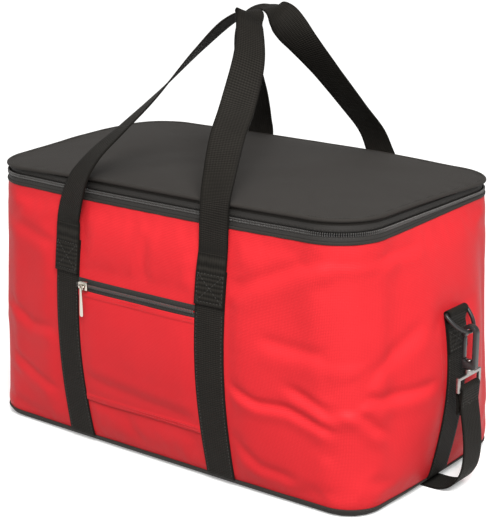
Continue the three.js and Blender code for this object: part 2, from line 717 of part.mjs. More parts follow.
// End clips. Local frame: outward +X, so the left clip is the right one turned half round
const tabOuterR = RING_WIRE_R + RING_CLEARANCE + TAB_WALL;
const ringBarX = wallPoint(1, 0, TAB_Z, GAP + tabOuterR)[0];
const ringTilt = THREE.MathUtils.degToRad(RING_TILT);
const hookX = ringBarX + RING_DEPTH * Math.sin(ringTilt);
const hookZ = TAB_Z - RING_DEPTH * Math.cos(ringTilt);
const slotFloorZ = HOOK_SLOT_TOP - HOOK_SLOT_L;
const hookFootZ = slotFloorZ - HOOK_BASE_H;
const strapRingZ = hookFootZ - GAP - BARREL_H + 1;
const strapRingFootZ = strapRingZ - STRAP_RING_SLOT_H - 2 * STRAP_RING_WIRE;

function tabGeometry() {
  const sleeve = new THREE.Shape().absarc(0, 0, tabOuterR, 0, 2 * Math.PI);
  sleeve.holes.push(new THREE.Path().absarc(0, 0, tabOuterR - TAB_WALL, 0, 2 * Math.PI, true));
  return plateXZ(sleeve, TAB_W, 8);
}

function dRingGeometry() {
  const down = new THREE.Vector3(Math.sin(ringTilt), 0, -Math.cos(ringTilt));
  const across = new THREE.Vector3(0, 1, 0);
  const path = [];
  const arcSteps = 14;
  for (let i = 0; i <= arcSteps; i++) {
    const angle = (Math.PI * i) / arcSteps;
    path.push(across.clone().multiplyScalar(RING_HALF_W * Math.cos(angle)).addScaledVector(down, RING_DEPTH * Math.sin(angle)));
  }
  for (const share of [-0.88, 0.88]) path.push(across.clone().multiplyScalar(RING_HALF_W * share));
  return wireLoop(path, RING_WIRE_R, 8, across.clone().cross(down));
}

function hookGeometry() {
  const bowZ = HOOK_SLOT_TOP - HOOK_SLOT_HALF_W;
  const [w, s] = [HOOK_HALF_W, HOOK_SLOT_HALF_W];
  const hook = new THREE.Shape();
  hook.moveTo(-w, bowZ - HOOK_TIP_DROP);
  hook.lineTo(-w, bowZ);
  hook.absarc(0, bowZ, w, Math.PI, 0, true);
  hook.lineTo(w, hookFootZ + HOOK_CHAMFER);
  hook.lineTo(w - HOOK_CHAMFER, hookFootZ);
  hook.lineTo(-w + HOOK_CHAMFER, hookFootZ);
  hook.lineTo(-w, hookFootZ + HOOK_CHAMFER);
  hook.lineTo(-w, slotFloorZ + HOOK_STUB_H);
  hook.lineTo(-s, slotFloorZ + HOOK_STUB_H);
  hook.lineTo(-s, slotFloorZ);
  hook.lineTo(s, slotFloorZ);
  hook.lineTo(s, bowZ);
  hook.absarc(0, bowZ, s, 0, Math.PI, false);
  hook.lineTo(-s, bowZ - HOOK_TIP_DROP);
  const bore = uprightCylinder(STEM_R + STEM_CLEARANCE, hookFootZ - 2, slotFloorZ + 2);
  return fromSolid(solid(plateXZ(hook, HOOK_T, 8)).subtract(solid(bore)));
}

const gateX = -(HOOK_HALF_W + HOOK_SLOT_HALF_W) / 2;
const gateFootZ = slotFloorZ + HOOK_STUB_H + GAP;
const gateTopZ = HOOK_SLOT_TOP - HOOK_SLOT_HALF_W - HOOK_TIP_DROP - GAP;

function gateGeometry() {
  const r = GATE_W / 2;
  const gate = new THREE.Shape();
  gate.absarc(gateX, gateFootZ + r, r, Math.PI, 2 * Math.PI);
  gate.lineTo(gateX + r, gateTopZ - r * 0.6);
  gate.lineTo(gateX + r * 0.4, gateTopZ);
  gate.lineTo(gateX - r * 0.4, gateTopZ);
  gate.lineTo(gateX - r, gateTopZ - r * 0.6);
  return plateXZ(gate, GATE_T, 4);
}

function strapRingGeometry() {
  const [w, x] = [STRAP_RING_SLOT_W / 2, STRAP_RING_WIRE / 2];
  const [top, foot, wire] = [strapRingZ, strapRingFootZ, STRAP_RING_WIRE];
  const frame = polygon([[-w - wire, foot], [w + wire, foot], [w + wire, top], [-w - wire, top]]);
  const slot = [[-w, foot + wire], [-w, top - wire], [w, top - wire], [w, foot + wire]];
  frame.holes.push(new THREE.Path(slot.map(([y, z]) => new THREE.Vector2(y, z))));
  const loop = plateXZ(frame, 2 * x).rotateZ(Math.PI / 2);
  const barrel = uprightCylinder(BARREL_R, top - 1, hookFootZ - GAP);
  const stem = uprightCylinder(STEM_R, top - 1, slotFloorZ + GAP + STEM_HEAD_H);
  const head = uprightCylinder(STEM_HEAD_R, slotFloorZ + GAP, slotFloorZ + GAP + STEM_HEAD_H);
  return join(loop, barrel, stem, head);
}

function makeClip(name, turn) {
  const end = new THREE.Group();
  end.rotation.z = turn;
  bag.add(end);
  const tab = new THREE.Group();
  tab.position.set(ringBarX, 0, TAB_Z);
  end.add(tab);
  add(`${name}_ring_tab`, tabGeometry(), 'webbing', tab);
  add(`${name}_d_ring`, dRingGeometry(), 'darkMetal', tab);
  const hook = new THREE.Group();
  hook.position.set(hookX, 0, hookZ);
  end.add(hook);
  add(`${name}_snap_hook`, hookGeometry(), 'plastic', hook);
  add(`${name}_hook_gate`, gateGeometry(), 'plastic', hook);
  add(`${name}_strap_ring`, strapRingGeometry(), 'darkMetal', hook);
}

// Shoulder strap: hangs from the right clip, lies under the bag and rises to the left clip.
// Rows are the distance out from the strap ring and the share of the drop to the floor.
const STRAP_DROP = [[0, 0], [2.5, 0.16], [6.5, 0.37], [8.5, 0.58], [5, 0.79], [-6, 0.93], [-20, 0.99]];

function makeStrap() {
  const topZ = hookZ + strapRingFootZ - GAP;
  const floorZ = STRAP_FLOOR_GAP + WEBBING_T / 2;
  const drop = STRAP_DROP.map(([x, share]) => new THREE.Vector3(hookX + x, 0, topZ + (floorZ - topZ) * share));
  const floorX = [BASE_LENGTH * 0.48, BASE_LENGTH * 0.32, BASE_LENGTH * 0.16, 0];
  const lie = floorX.map((x) => new THREE.Vector3(x, 0, floorZ));
  const right = [...drop, ...lie];
  const left = right.slice(0, -1).reverse().map((p) => new THREE.Vector3(-p.x, 0, p.z));
  const route = new THREE.CatmullRomCurve3([...right, ...left], false, 'centripetal').getPoints(STRAP_STEPS);
  const across = route.map(() => new THREE.Vector3(0, 1, 0));
  add('shoulder_strap', band(route, across, WEBBING_W, WEBBING_T), 'webbing');
}

makeWalls();
makeBase();
makeLid();
makeWebbing();
makeHandle('front_handle', 0, FRONT_ARCH, FRONT_DRAW_IN);
makeHandle('back_handle', 2, BACK_ARCH, BACK_DRAW_IN);
makePocket();
makeMainSlider();
makeClip('right', 0);
makeClip('left', Math.PI);
makeStrap();

export default bag;
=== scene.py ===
"""Insulated food bag: soft red walls, zipped black lid, webbing handles, pocket and clip-on strap."""

import math

import bpy
import numpy as np
from bpy.props import FloatProperty, FloatVectorProperty, PointerProperty
from mathutils import Matrix, Vector
from mathutils import noise as cloth_noise


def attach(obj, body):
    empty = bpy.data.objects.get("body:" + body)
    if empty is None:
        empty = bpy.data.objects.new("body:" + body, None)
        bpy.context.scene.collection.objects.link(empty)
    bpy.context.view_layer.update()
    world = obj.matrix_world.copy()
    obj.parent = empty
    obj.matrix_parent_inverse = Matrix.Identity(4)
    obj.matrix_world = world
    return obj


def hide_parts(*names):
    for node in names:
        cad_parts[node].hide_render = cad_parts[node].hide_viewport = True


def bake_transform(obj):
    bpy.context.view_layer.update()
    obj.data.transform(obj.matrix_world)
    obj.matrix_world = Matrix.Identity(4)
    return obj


bl_info = {
    "name": "Insulated food bag",
    "version": (1, 0, 0),
    "blender": (4, 5, 0),
    "location": "View3D > Sidebar > Food bag",
    "description": "Dresses the bag's solids in cloth, webbing, zips and clips",
    "category": "Add Mesh",
}

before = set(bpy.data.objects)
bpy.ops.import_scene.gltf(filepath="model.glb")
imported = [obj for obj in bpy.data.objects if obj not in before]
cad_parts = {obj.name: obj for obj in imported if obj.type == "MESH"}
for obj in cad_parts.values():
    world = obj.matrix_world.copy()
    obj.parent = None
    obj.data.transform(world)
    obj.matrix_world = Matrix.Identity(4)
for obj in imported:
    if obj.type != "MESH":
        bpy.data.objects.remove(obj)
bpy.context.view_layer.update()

# Body form, repeated from the part's source in metres
MOUTH_LENGTH = 0.516
MOUTH_WIDTH = 0.304
BASE_LENGTH = 0.543
BASE_WIDTH = 0.296
MOUTH_Z = 0.298
MOUTH_CORNER_R = 0.058
BASE_CORNER_R = 0.044
SIDE_BULGE = 0.020
END_BULGE = 0.028
MOUTH_BOW = 0.005
BASE_EDGE_R = 0.014

# Lid: height of its edge, crown, sag, rise of the mouth below it, line of its hinge
LID_EDGE_Z = 0.3235
LID_CROWN = 0.0046
LID_SAG = 0.0060
MOUTH_RISE = 0.0052

# Trims that run round the wall: inner and outer offset, lower and upper height, rounding
MOUTH_TAPE = (-0.0004, 0.0015, 0.2968, 0.3000, 0.0008)
RIM_TAPE = (-0.0094, -0.0004, 0.2952, 0.2981, 0.0012)
BASE_TAPE = (-0.0024, 0.0010, 0.0016, 0.0106, 0.0016)
LID_WALL = (-0.0050, -0.0034, 0.3100, 0.3222, 0.0006)
LID_PIPING = (-0.0020, 0.0018, 0.3206, 0.3246, 0.0018)
HINGE_CLOTH = (-0.0016, 0.0, 0.2985, 0.3168, 0.0006)

# How far bound edges stray from true
MOUTH_WOBBLE = 0.0003
BASE_WOBBLE = 0.0006
PIPING_WOBBLE = 0.0004

# Lid cloth and the foam board under it: offset of the edge, thickness, height
LID_EDGE_OFFSET = -0.0003
LID_THICKNESS = 0.0014
LID_BOARD_OFFSET = -0.0090
LID_BOARD_THICKNESS = 0.0010
LID_BOARD_Z = 0.3192
LID_PUCKER = 0.0003
LID_PUCKER_RUN = 0.0045

# Rows of stitches round the wall: height, offset
MOUTH_STITCHES = (0.2980, 0.0013)
BASE_STITCHES = (0.0092, 0.0008)
LID_STITCHES = (0.3240, -0.0050)

# Sewn webbing and its stitches: gap to the cloth, places of the seams and tacks
WEBBING_GAP = 0.0003
STITCH_INSET = 0.0028
WEBBING_EDGE = 0.0005
THREAD_PROUD = 0.0002
SEAM_STEP = 0.004
STRIP_LOW_Z = 0.0095
STRIP_SEAM_LOW_Z = 0.013
STRIP_SEAM_HIGH_Z = 0.205
SIDE_STRIP_HIGH_Z = 0.1985
SIDE_SEAM_HIGH_Z = 0.155
SIDE_TACK_Z = (0.163, 0.184)
HANDLE_TACK_Z = (0.2165, 0.2465)

# Main zip halves: name, body, heights and offset of the tape, height of the teeth, way that they lean
MAIN_ZIP_HALVES = (
    ("lower", "root", 0.2984, 0.3052, 0.0, 0.3063, 1),
    ("upper", "lid", 0.3094, 0.3166, -0.0026, 0.3086, -1),
)
MAIN_ZIP_PAST_CORNER = 0.004
ZIP_TAPE_THICKNESS = 0.0014
ZIP_TAPE_ROUND = 0.0005

# Zip teeth: place, lean, share of the pitch that one fills, rounding, width and height on each zip
TOOTH_OFFSET = -0.0003
TOOTH_LEAN = 0.00025
TOOTH_SHARE = 0.6
TOOTH_ROUND = 0.0004
MAIN_TOOTH = (0.0021, 0.0026)
POCKET_TOOTH = (0.0040, 0.0014)

# Handles and their tacks, where 0 is the front side and 2 the back
HANDLE_X = 0.104
FRONT_SHIFT = -0.014
HANDLE_SHIFT_AT_LID = 0.36
TACK_Z = 0.250
PIVOT_Z = 0.255
FOOT_Y = {0: 0.16528, 2: 0.16489}
HANDLE_TOP_Z = 0.501
HANDLE_TOP_X = 0.028
HANDLE_TOP_Y = 0.021
HANDLE_EDGE_OFFSET = 0.005
FOOT_SHARES = (0, 0.25, 0.5)
SEWN_Z = (0.2125, 0.222, 0.232, 0.241, 0.249)
FREE_Z = 0.268
DRAW_IN = {0: 0.008, 2: 0.016}

# Rise of each handle from the lid's edge to its top: shares along, inwards and up, and degrees of turn
ARCH = {
    0: (
        (0, 0, 0, 0),
        (0.07, 0.055, 0.157, 10),
        (0.21, 0.217, 0.337, 28),
        (0.39, 0.5, 0.49, 50),
        (0.6, 0.82, 0.756, 72),
        (0.82, 0.965, 0.94, 86),
        (1, 1, 1, 90),
    ),
    2: (
        (0, 0, 0, 0),
        (0.05, 0.07, 0.14, 0),
        (0.16, 0.25, 0.34, 2),
        (0.32, 0.54, 0.6, 10),
        (0.56, 0.83, 0.83, 32),
        (0.8, 0.965, 0.96, 66),
        (1, 1, 1, 90),
    ),
}

# Degrees that each handle's left leg has already turned by at the lid's edge
EDGE_TWIST = {0: 20, 2: 0}

# How far the soft handles leave their solids' lines, row by row, for each side and hand
LEG_SLACK = {
    (0, 1): (
        (0, 0, 0), (0, 0.006, 0), (0, 0.007, 0), (-0.003, 0.004, 0),
        (-0.005, 0, 0), (-0.005, -0.002, 0), (0, 0, 0),
    ),
    (0, -1): (
        (0.004, -0.005, 0), (0.008, -0.002, -0.003), (0.009, 0.002, -0.006), (0.001, 0.002, -0.001),
        (0.001, 0.001, 0.001), (0.001, 0, 0), (0, 0, 0),
    ),
    (2, 1): (
        (-0.002, 0, 0), (-0.004, 0, -0.001), (-0.008, 0, -0.004), (-0.009, 0, -0.006),
        (-0.006, 0, -0.004), (-0.003, 0, -0.001), (0, 0, 0),
    ),
    (2, -1): (
        (-0.004, 0, 0), (-0.006, 0, 0), (-0.006, 0, 0), (-0.004, 0, 0),
        (0, 0, 0), (0, 0, 0), (0, 0, 0),
    ),
}

# End clips and the strap that hangs from them
RING_BAR = Vector((0.29039, 0, 0.203))
RING_HALF_W = 0.021
RING_DEPTH = 0.027
RING_TILT = math.radians(45)
RING_WIRE_R = 0.0022
RING_LOOP_R = 0.0036
RING_LOOP_UNDER = 0.0013
RING_LOOP_OVER = 0.0032
HOOK_X = 0.30948
STRAP_TOP_Z = 0.11971
STRAP_FLOOR_Z = 0.0011
STRAP_RING_BAR_Z = 0.1218
STRAP_LOOP_R = 0.0032
STRAP_LOOP_LEG = ((0.0021, 0.094), (0.0021, 0.104), (0.0027, 0.113), (0.0030, 0.1195))
STRAP_TACK = ((-0.014, 0.096), (0.014, 0.096), (0.014, 0.110), (-0.014, 0.110))
STRAP_STEPS = 320

# Rigid pieces of a clip: piece, solid, body, material, slot, rounding of the edges and its steps
CLIP_PIECES = (
    ("hook_body", "snap_hook", "hook", "acetal", "black_plastic", 0.0012, 3),
    ("hook_latch", "hook_gate", "gate", "acetal", "black_plastic", 0.0006, 2),
    ("strap_slide", "strap_ring", "clip", "zinc_plated_steel", "dark_metal", 0.0007, 2),
)

# Rows of the strap from its ring to the floor: distance out, share of the drop
STRAP_DROP = (
    (0, 0),
    (0.0025, 0.16),
    (0.0065, 0.37),
    (0.0085, 0.58),
    (0.005, 0.79),
    (-0.006, 0.93),
    (-0.020, 0.99),
)

# Pocket
POCKET_HALF_W = 0.0848
POCKET_LOW_Z = 0.060
POCKET_TOP_Z = 0.196
POCKET_ZIP_Z = 0.2028
POCKET_ZIP_Y = -0.1737
POCKET_LIFT = 0.0015
POCKET_LOOSE = 0.0016
POCKET_HEM = 0.0007
POCKET_THICKNESS = 0.0011
POCKET_STITCH_LIFT = 0.0024
POCKET_STITCH_INSET = 0.003
POCKET_STITCH_Z = (0.0625, 0.0655, 0.1905, 0.1940)
POCKET_TAPES = (("lower", 0.1955, 0.2019), ("upper", 0.2037, 0.2100))
POCKET_TAPE_LIFT = 0.0016
POCKET_TAPE_BOW = 0.0004
POCKET_TAPE_THICKNESS = 0.0009
POCKET_TAPE_STITCH_Z = (0.1975, 0.2082)
POCKET_TAPE_STITCH_LIFT = 0.0021
POCKET_TAPE_STITCH_INSET = 0.002

# Film lining: floor, walls and lid, and how much of each is crumpled
LINER_FLOOR_Z = 0.0122
LINER_FLOOR_EDGE = (0.016, -0.0108)
LINER_FLOOR_CRUMPLE = 0.0012
LINER_WALL_CRUMPLE = 0.0022
LID_LINER_CRUMPLE = 0.0007
LID_LINER_OFFSET = -0.0040
LINER_LOW_Z = 0.0135
LINER_HIGH_Z = 0.2968
LINER_FLOOR_SHARE = 0.55
LINER_OFFSET = -0.0088
LINER_THICKNESS = 0.0005
LID_LINER_Z = 0.3146

# Photograph: camera angle, distance, focal length in pixels and the pixel on the lens axis
PHOTO_SIZE = (504, 523)
CAMERA_TARGET = Vector((0, 0, 0.150))
CAMERA_AZIMUTH = math.radians(37.63)
CAMERA_ELEVATION = math.radians(17.92)
CAMERA_DISTANCE = 1.844
FOCAL_PIXELS = 1555.3
AXIS_PIXEL = (240.4, 307.0)
SENSOR_WIDTH = 36.0

# Studio: places, sizes and strengths of the lights, and how bright the air is to the bag and to the camera
KEY_LIGHT = Vector((1.1, -1.15, 1.5))
KEY_SIZE = 0.9
KEY_ENERGY = 43
SKY_LIGHT = Vector((0.7, -0.8, 1.7))
SKY_ANGLE = math.radians(50)
SKY_ENERGY = 1.7
PAPER_GLOW = 0.25
AIR_FILL = 0.45
AIR_SEEN = 0.6


def linear(code):
    """Linear colour of an sRGB hex code."""
    values = [int(code[i:i + 2], 16) / 255 for i in (0, 2, 4)]
    return tuple(v / 12.92 if v <= 0.04045 else ((v + 0.055) / 1.055) ** 2.4 for v in values)


def length_property(name, description, default):
    """A length that the user may change."""
    return FloatProperty(
        name=name, description=description, default=default, min=0.0, unit="LENGTH", precision=5
    )


def colour_property(name, description, code):
    """A colour that the user may change, given as an sRGB hex code."""
    return FloatVectorProperty(
        name=name, description=description, default=linear(code), size=3, min=0, max=1, subtype="COLOR"
    )


class FoodBagSizes(bpy.types.PropertyGroup):
    """Sizes of cloth, webbing, stitches and zip teeth."""

    webbing_width: length_property("Webbing width", "Width of handles, strips and strap", 0.038)
    webbing_thickness: length_property("Webbing thickness", "Thickness of the webbing", 0.0018)
    cloth_thickness: length_property("Cloth thickness", "Thickness of the wall cloth", 0.0014)
    wrinkle_depth: length_property("Wrinkle depth", "Height of the soft unevenness of the walls", 0.0022)
    stitch_pitch: length_property("Stitch pitch", "Distance from stitch to stitch", 0.0042)
    stitch_length: length_property("Stitch length", "Visible length of one stitch", 0.0030)
    stitch_width: length_property("Stitch width", "Width of the thread", 0.0008)
    tooth_pitch: length_property("Tooth pitch", "Distance from zip tooth to zip tooth", 0.0021)
    weave_pitch: length_property("Weave pitch", "Thread spacing that the cloth shows", 0.0016)
    rib_pitch: length_property("Rib pitch", "Rib spacing that the webbing shows", 0.0022)
    floor_size: length_property("Floor size", "Side of the studio floor", 24.0)


class FoodBagColours(bpy.types.PropertyGroup):
    """Colours of the bag's materials."""

    red: colour_property("Red cloth", "Wall and pocket cloth", "D32B31")
    black: colour_property("Black cloth", "Lid, bindings and base cloth", "2F2C29")
    webbing: colour_property("Webbing", "Handles, strips and strap", "211F1C")
    zip_tape: colour_property("Zip tape", "Woven tape of the zips", "302E2C")
    coil: colour_property("Zip coil", "Nylon coil of the zips", "3C3A38")
    foil: colour_property("Foil lining", "Metallised film inside", "C9CCD0")
    foam: colour_property("Foam", "Closed-cell foam boards", "E9E7E0")
    bright_metal: colour_property("Bright metal", "Zip sliders and pulls", "BDB8AE")
    grey_metal: colour_property("Grey metal", "Strap rings", "8F8B88")
    acetal: colour_property("Acetal", "Snap hooks and D-rings", "1E1D1D")
    floor: colour_property("Floor", "Studio floor", "F8F8F7")


# Wall form

SIDES = (((1, 0), (0, -1)), ((0, 1), (1, 0)), ((-1, 0), (0, 1)), ((0, -1), (-1, 0)))
HALF_LONG = (BASE_LENGTH + MOUTH_LENGTH - BASE_CORNER_R * 2 - MOUTH_CORNER_R * 2) / 4
HALF_SHORT = (BASE_WIDTH + MOUTH_WIDTH - BASE_CORNER_R * 2 - MOUTH_CORNER_R * 2) / 4
ARC = (BASE_CORNER_R + MOUTH_CORNER_R) / 2 * math.pi / 2
WRAP = 4 * (HALF_LONG + HALF_SHORT + ARC)
FRONT_MID = HALF_SHORT + ARC + HALF_LONG
RIGHT_MID = FRONT_MID + HALF_LONG + ARC + HALF_SHORT
BACK_MID = FRONT_MID + WRAP / 2


def mix(low, high, share):
    return low + (high - low) * share


def ramp(value, low, high):
    """Smooth rise from 0 at low to 1 at high."""
    t = min(max((value - low) / (high - low), 0), 1)
    return t * t * (3 - 2 * t)


def wall_form(z):
    """Half length, half width, corner radius, bows of the long and short sides, and the base tuck."""
    t = min(max(z / MOUTH_Z, 0), 1)
    swell = math.sin(math.pi * t)
    low = BASE_EDGE_R - min(max(z, 0), BASE_EDGE_R)
    tuck = BASE_EDGE_R - math.sqrt(BASE_EDGE_R**2 - low**2)
    return (
        mix(BASE_LENGTH, MOUTH_LENGTH, t) / 2,
        mix(BASE_WIDTH, MOUTH_WIDTH, t) / 2,
        mix(BASE_CORNER_R, MOUTH_CORNER_R, t),
        MOUTH_BOW * t + SIDE_BULGE * swell,
        END_BULGE * swell,
        tuck,
    )


def side_place(side, a, d, z):
    """Point at a along a side and d out from the middle of the bag."""
    (ax, ay), (ox, oy) = SIDES[side]
    return Vector((ax * a + ox * d, ay * a + oy * d, z))


def wall_point(side, u, z, offset=0.0):
    """Point on a straight side, u from its middle, at an offset from the cloth's outer face."""
    half_length, half_width, corner, long_bow, short_bow, tuck = wall_form(z)
    long_side = side % 2 == 0
    half = (half_length if long_side else half_width) - corner
    reach = half_width if long_side else half_length
    bow = long_bow if long_side else short_bow
    s = u / half
    flat = 1 - s**4
    slope = -8 * bow * s**3 * flat / half
    size = math.hypot(1, slope)
    return side_place(side, u - slope / size * offset, reach - tuck + bow * flat**2 + offset / size, z)


def corner_point(side, turn, z, offset=0.0):
    """Point on the rounded corner that follows a side."""
    half_length, half_width, corner, _, _, tuck = wall_form(z)
    long_side = side % 2 == 0
    half = (half_length if long_side else half_width) - corner
    reach = half_width if long_side else half_length
    r = corner - tuck + offset
    return side_place(side, half + r * math.sin(turn), reach - corner + r * math.cos(turn), z)


def wrap_point(a, z, offset=0.0):
    """Point at a distance a round the wall, from the middle of the left end towards the front."""
    half_length, half_width, corner, _, _, _ = wall_form(z)
    a = (a + HALF_SHORT) % WRAP
    for side in (3, 0, 1, 2):
        half = HALF_LONG if side % 2 == 0 else HALF_SHORT
        real = (half_length if side % 2 == 0 else half_width) - corner
        if a < 2 * half:
            return wall_point(side, (a / half - 1) * real, z, offset)
        a -= 2 * half
        if a < ARC:
            return corner_point(side, a / ARC * math.pi / 2, z, offset)
        a -= ARC
    return wall_point(3, -half_width + corner, z, offset)


def lid_sag(p):
    """How far the soft lid sinks: most at its near left corner, some at its far right one."""
    near_left = ramp(-p.x, 0.06, 0.25) * (1 - ramp(p.y, -0.13, 0.06))
    far_right = ramp(p.x, 0.05, 0.25) * ramp(p.y, -0.08, 0.13)
    return LID_SAG * (near_left + 0.55 * far_right + 0.2 * ramp(p.y, 0.0, 0.13))


def soft_rise(p, z):
    """How far the mouth stands up at the right end, and the lid's edge sinks, at a height of the form."""
    mouth = MOUTH_RISE * ramp(p.x, 0.16, 0.262) * ramp(p.y, -0.14, 0.12)
    return mouth * ramp(z, 0.20, 0.298) * (1 - ramp(z, 0.300, 0.3095)) - lid_sag(p) * ramp(z, 0.3166, 0.3206)


# Cloth unevenness

# Folds of the wall cloth: middle of the side, points along it and up, width, depth
FOLDS = (
    (FRONT_MID, ((0.118, 0.127), (0.148, 0.116), (0.182, 0.116), (0.220, 0.102)), 0.0045, 0.0030),
    (FRONT_MID, ((0.196, 0.134), (0.228, 0.119), (0.252, 0.126)), 0.0055, 0.0030),
    (FRONT_MID, ((0.252, 0.124), (0.284, 0.097)), 0.0045, 0.0030),
    (FRONT_MID, ((0.254, 0.138), (0.284, 0.130), (0.336, 0.134)), 0.0060, 0.0025),
    (FRONT_MID, ((0.234, 0.284), (0.290, 0.279), (0.340, 0.282)), 0.0050, 0.0020),
    (FRONT_MID, ((0.124, 0.238), (0.168, 0.256), (0.222, 0.280)), 0.0075, 0.0025),
    (FRONT_MID, ((0.170, 0.186), (0.214, 0.180), (0.252, 0.180)), 0.0075, 0.0020),
    (FRONT_MID, ((0.258, 0.146), (0.294, 0.172), (0.322, 0.194)), 0.0075, 0.0020),
    (FRONT_MID, ((0.124, 0.056), (0.142, 0.040), (0.170, 0.036)), 0.0060, 0.0020),
    (FRONT_MID, ((-0.228, 0.152), (-0.184, 0.134), (-0.150, 0.138)), 0.0060, 0.0020),
    (FRONT_MID, ((-0.230, 0.256), (-0.166, 0.242)), 0.0070, 0.0015),
    (FRONT_MID, ((-0.214, 0.084), (-0.158, 0.064)), 0.0060, 0.0020),
    (BACK_MID, ((-0.236, 0.142), (-0.190, 0.122), (-0.136, 0.126)), 0.0050, 0.0025),
    (BACK_MID, ((0.130, 0.122), (0.182, 0.136), (0.236, 0.128)), 0.0050, 0.0025),
    (BACK_MID, ((-0.064, 0.162), (0.000, 0.146), (0.060, 0.152)), 0.0060, 0.0020),
    (BACK_MID, ((-0.076, 0.264), (0.030, 0.244)), 0.0070, 0.0020),
    (BACK_MID, ((0.140, 0.240), (0.232, 0.268)), 0.0070, 0.0020),
    (0.0, ((0.030, 0.150), (0.076, 0.128), (0.122, 0.136)), 0.0055, 0.0025),
    (0.0, ((-0.112, 0.126), (-0.064, 0.140), (-0.032, 0.126)), 0.0055, 0.0025),
    (0.0, ((-0.090, 0.270), (0.000, 0.262), (0.080, 0.272)), 0.0070, 0.0020),
)
FOLD_FADE = 0.014
FOLD_REACH = 0.06

# Where webbing holds the long sides: middle of the side, distance from it
WEBBING_PLACES = (
    (FRONT_MID, FRONT_SHIFT - HANDLE_X),
    (FRONT_MID, FRONT_SHIFT + HANDLE_X),
    (BACK_MID, -HANDLE_X),
    (BACK_MID, HANDLE_X),
)

# Cloth simulation of the wall: air pressure, spare cloth, frames, and how far it may stand out
WALL_PRESSURE = 15.0
WALL_SLACK = 0.010
WALL_FRAMES = 16
LEAST_PUFF = 0.0006
MOST_PUFF = 0.0050
MOST_DENT = 0.0004
MOST_SLIDE = 0.003
WALL_LOW_Z = 0.0075


def wrap_gap(a, b):
    """Shortest signed distance from b to a round the wall."""
    return (a - b + WRAP / 2) % WRAP - WRAP / 2


def fold_height(a, z):
    """Height of the folds at a place on the wall: each is a valley with a fuller roll below it."""
    height = 0.0
    for middle, points, width, depth in FOLDS:
        u, nearest = wrap_gap(a, middle), None
        for (u0, z0), (u1, z1) in zip(points, points[1:]):
            du, dz = u1 - u0, z1 - z0
            run = math.hypot(du, dz)
            along = ((u - u0) * du + (z - z0) * dz) / run
            over = max(-along, along - run, 0)
            above = ((z - z0) * du - (u - u0) * dz) / run
            reach = math.hypot(above, over)
            if nearest is None or reach < nearest[0]:
                nearest = (reach, above, over)
        reach, above, over = nearest
        if reach > FOLD_REACH:
            continue
        valley = math.exp(-((above / width) ** 2))
        roll = 0.6 * math.exp(-(((above + 2.3 * width) / (1.6 * width)) ** 2))
        height += depth * (roll - valley) * math.exp(-((over / FOLD_FADE) ** 2))
    return height


def side_run(a, z, middle):
    """Real distance along a side from its middle, for a place round the wall."""
    half_length, half_width, corner, _, _, _ = wall_form(z)
    long_side = middle in (FRONT_MID, BACK_MID)
    real = (half_length if long_side else half_width) - corner
    return wrap_gap(a, middle) * real / (HALF_LONG if long_side else HALF_SHORT)


def wall_hold(a, z):
    """How free the wall cloth is: 0 where it is sewn down, 1 where it hangs loose."""
    held = ramp(z, 0.010, 0.030) * (1 - ramp(z, 0.274, 0.294))
    for middle, place in WEBBING_PLACES:
        held *= ramp(abs(side_run(a, z, middle) - place), 0.021, 0.034)
    for middle in (0.0, RIGHT_MID):
        held *= 1 if z > 0.215 else ramp(abs(side_run(a, z, middle)), 0.020, 0.032)
    if POCKET_LOW_Z - 0.010 < z < 0.222:
        held *= ramp(abs(side_run(a, z, FRONT_MID) - FRONT_SHIFT), POCKET_HALF_W, POCKET_HALF_W + 0.012)
    return held


def wall_wrinkle(a, z, depth):
    """Unevenness of the wall cloth before its folds: slack, seam puckers and a hem held in at the base."""
    p = wrap_point(a, z)
    slack = cloth_noise.noise(p * 9.0) * depth + cloth_noise.noise(p * 22.0 + Vector((7, 3, 1))) * depth * 0.4
    near_seam = max(1 - (MOUTH_Z - z) / 0.022, 1 - (z - 0.010) / 0.022, 0)
    pucker = math.sin(a / 0.0042 + 3 * cloth_noise.noise(p * 14.0)) * 0.00035 * near_seam**2
    hem = ramp(z, 0.0100, 0.0170)
    return mix(-0.0006, LEAST_PUFF + max(slack, -LEAST_PUFF) * wall_hold(a, z) + pucker, hem)


def pocket_crease(u, z):
    """Soft crease across the lower pocket, with a fuller roll above it."""
    above = z - mix(0.090, 0.074, (u - FRONT_SHIFT + POCKET_HALF_W) / (2 * POCKET_HALF_W))
    return -0.0012 * math.exp(-((above / 0.008) ** 2)) + 0.0008 * math.exp(-(((above - 0.014) / 0.010) ** 2))


def crumple(p, size):
    """Crinkled height of the film lining."""
    return (cloth_noise.noise(p * 28) + 0.5 * cloth_noise.noise(p * 70)) * size


# Modelling helpers


def start_clean():
    if bpy.context.object and bpy.context.object.mode != "OBJECT":
        bpy.ops.object.mode_set(mode="OBJECT")
    bpy.ops.object.select_all(action="DESELECT")


def activate(piece):
    start_clean()
    piece.select_set(True)
    bpy.context.view_layer.objects.active = piece


def apply_modifier(piece, name, kind, **settings):
    activate(piece)
    modifier = piece.modifiers.new(name, kind)
    for key, value in settings.items():
        setattr(modifier, key, value)
    bpy.ops.object.modifier_apply(modifier=name)


def close_seams(piece, fill=False, turn_out=False):
    """Merges points that meet, and where asked closes open ends and turns the faces outwards."""
    activate(piece)
    bpy.ops.object.mode_set(mode="EDIT")
    bpy.ops.mesh.select_all(action="SELECT")
    bpy.ops.mesh.remove_doubles(threshold=1e-6)
    if fill:
        bpy.ops.mesh.select_all(action="SELECT")
        bpy.ops.mesh.fill_holes(sides=0)
    if turn_out:
        bpy.ops.mesh.select_all(action="SELECT")
        bpy.ops.mesh.normals_make_consistent(inside=False)
    bpy.ops.object.mode_set(mode="OBJECT")


def smooth(piece, degrees=50):
    activate(piece)
    bpy.ops.object.shade_smooth_by_angle(angle=math.radians(degrees))


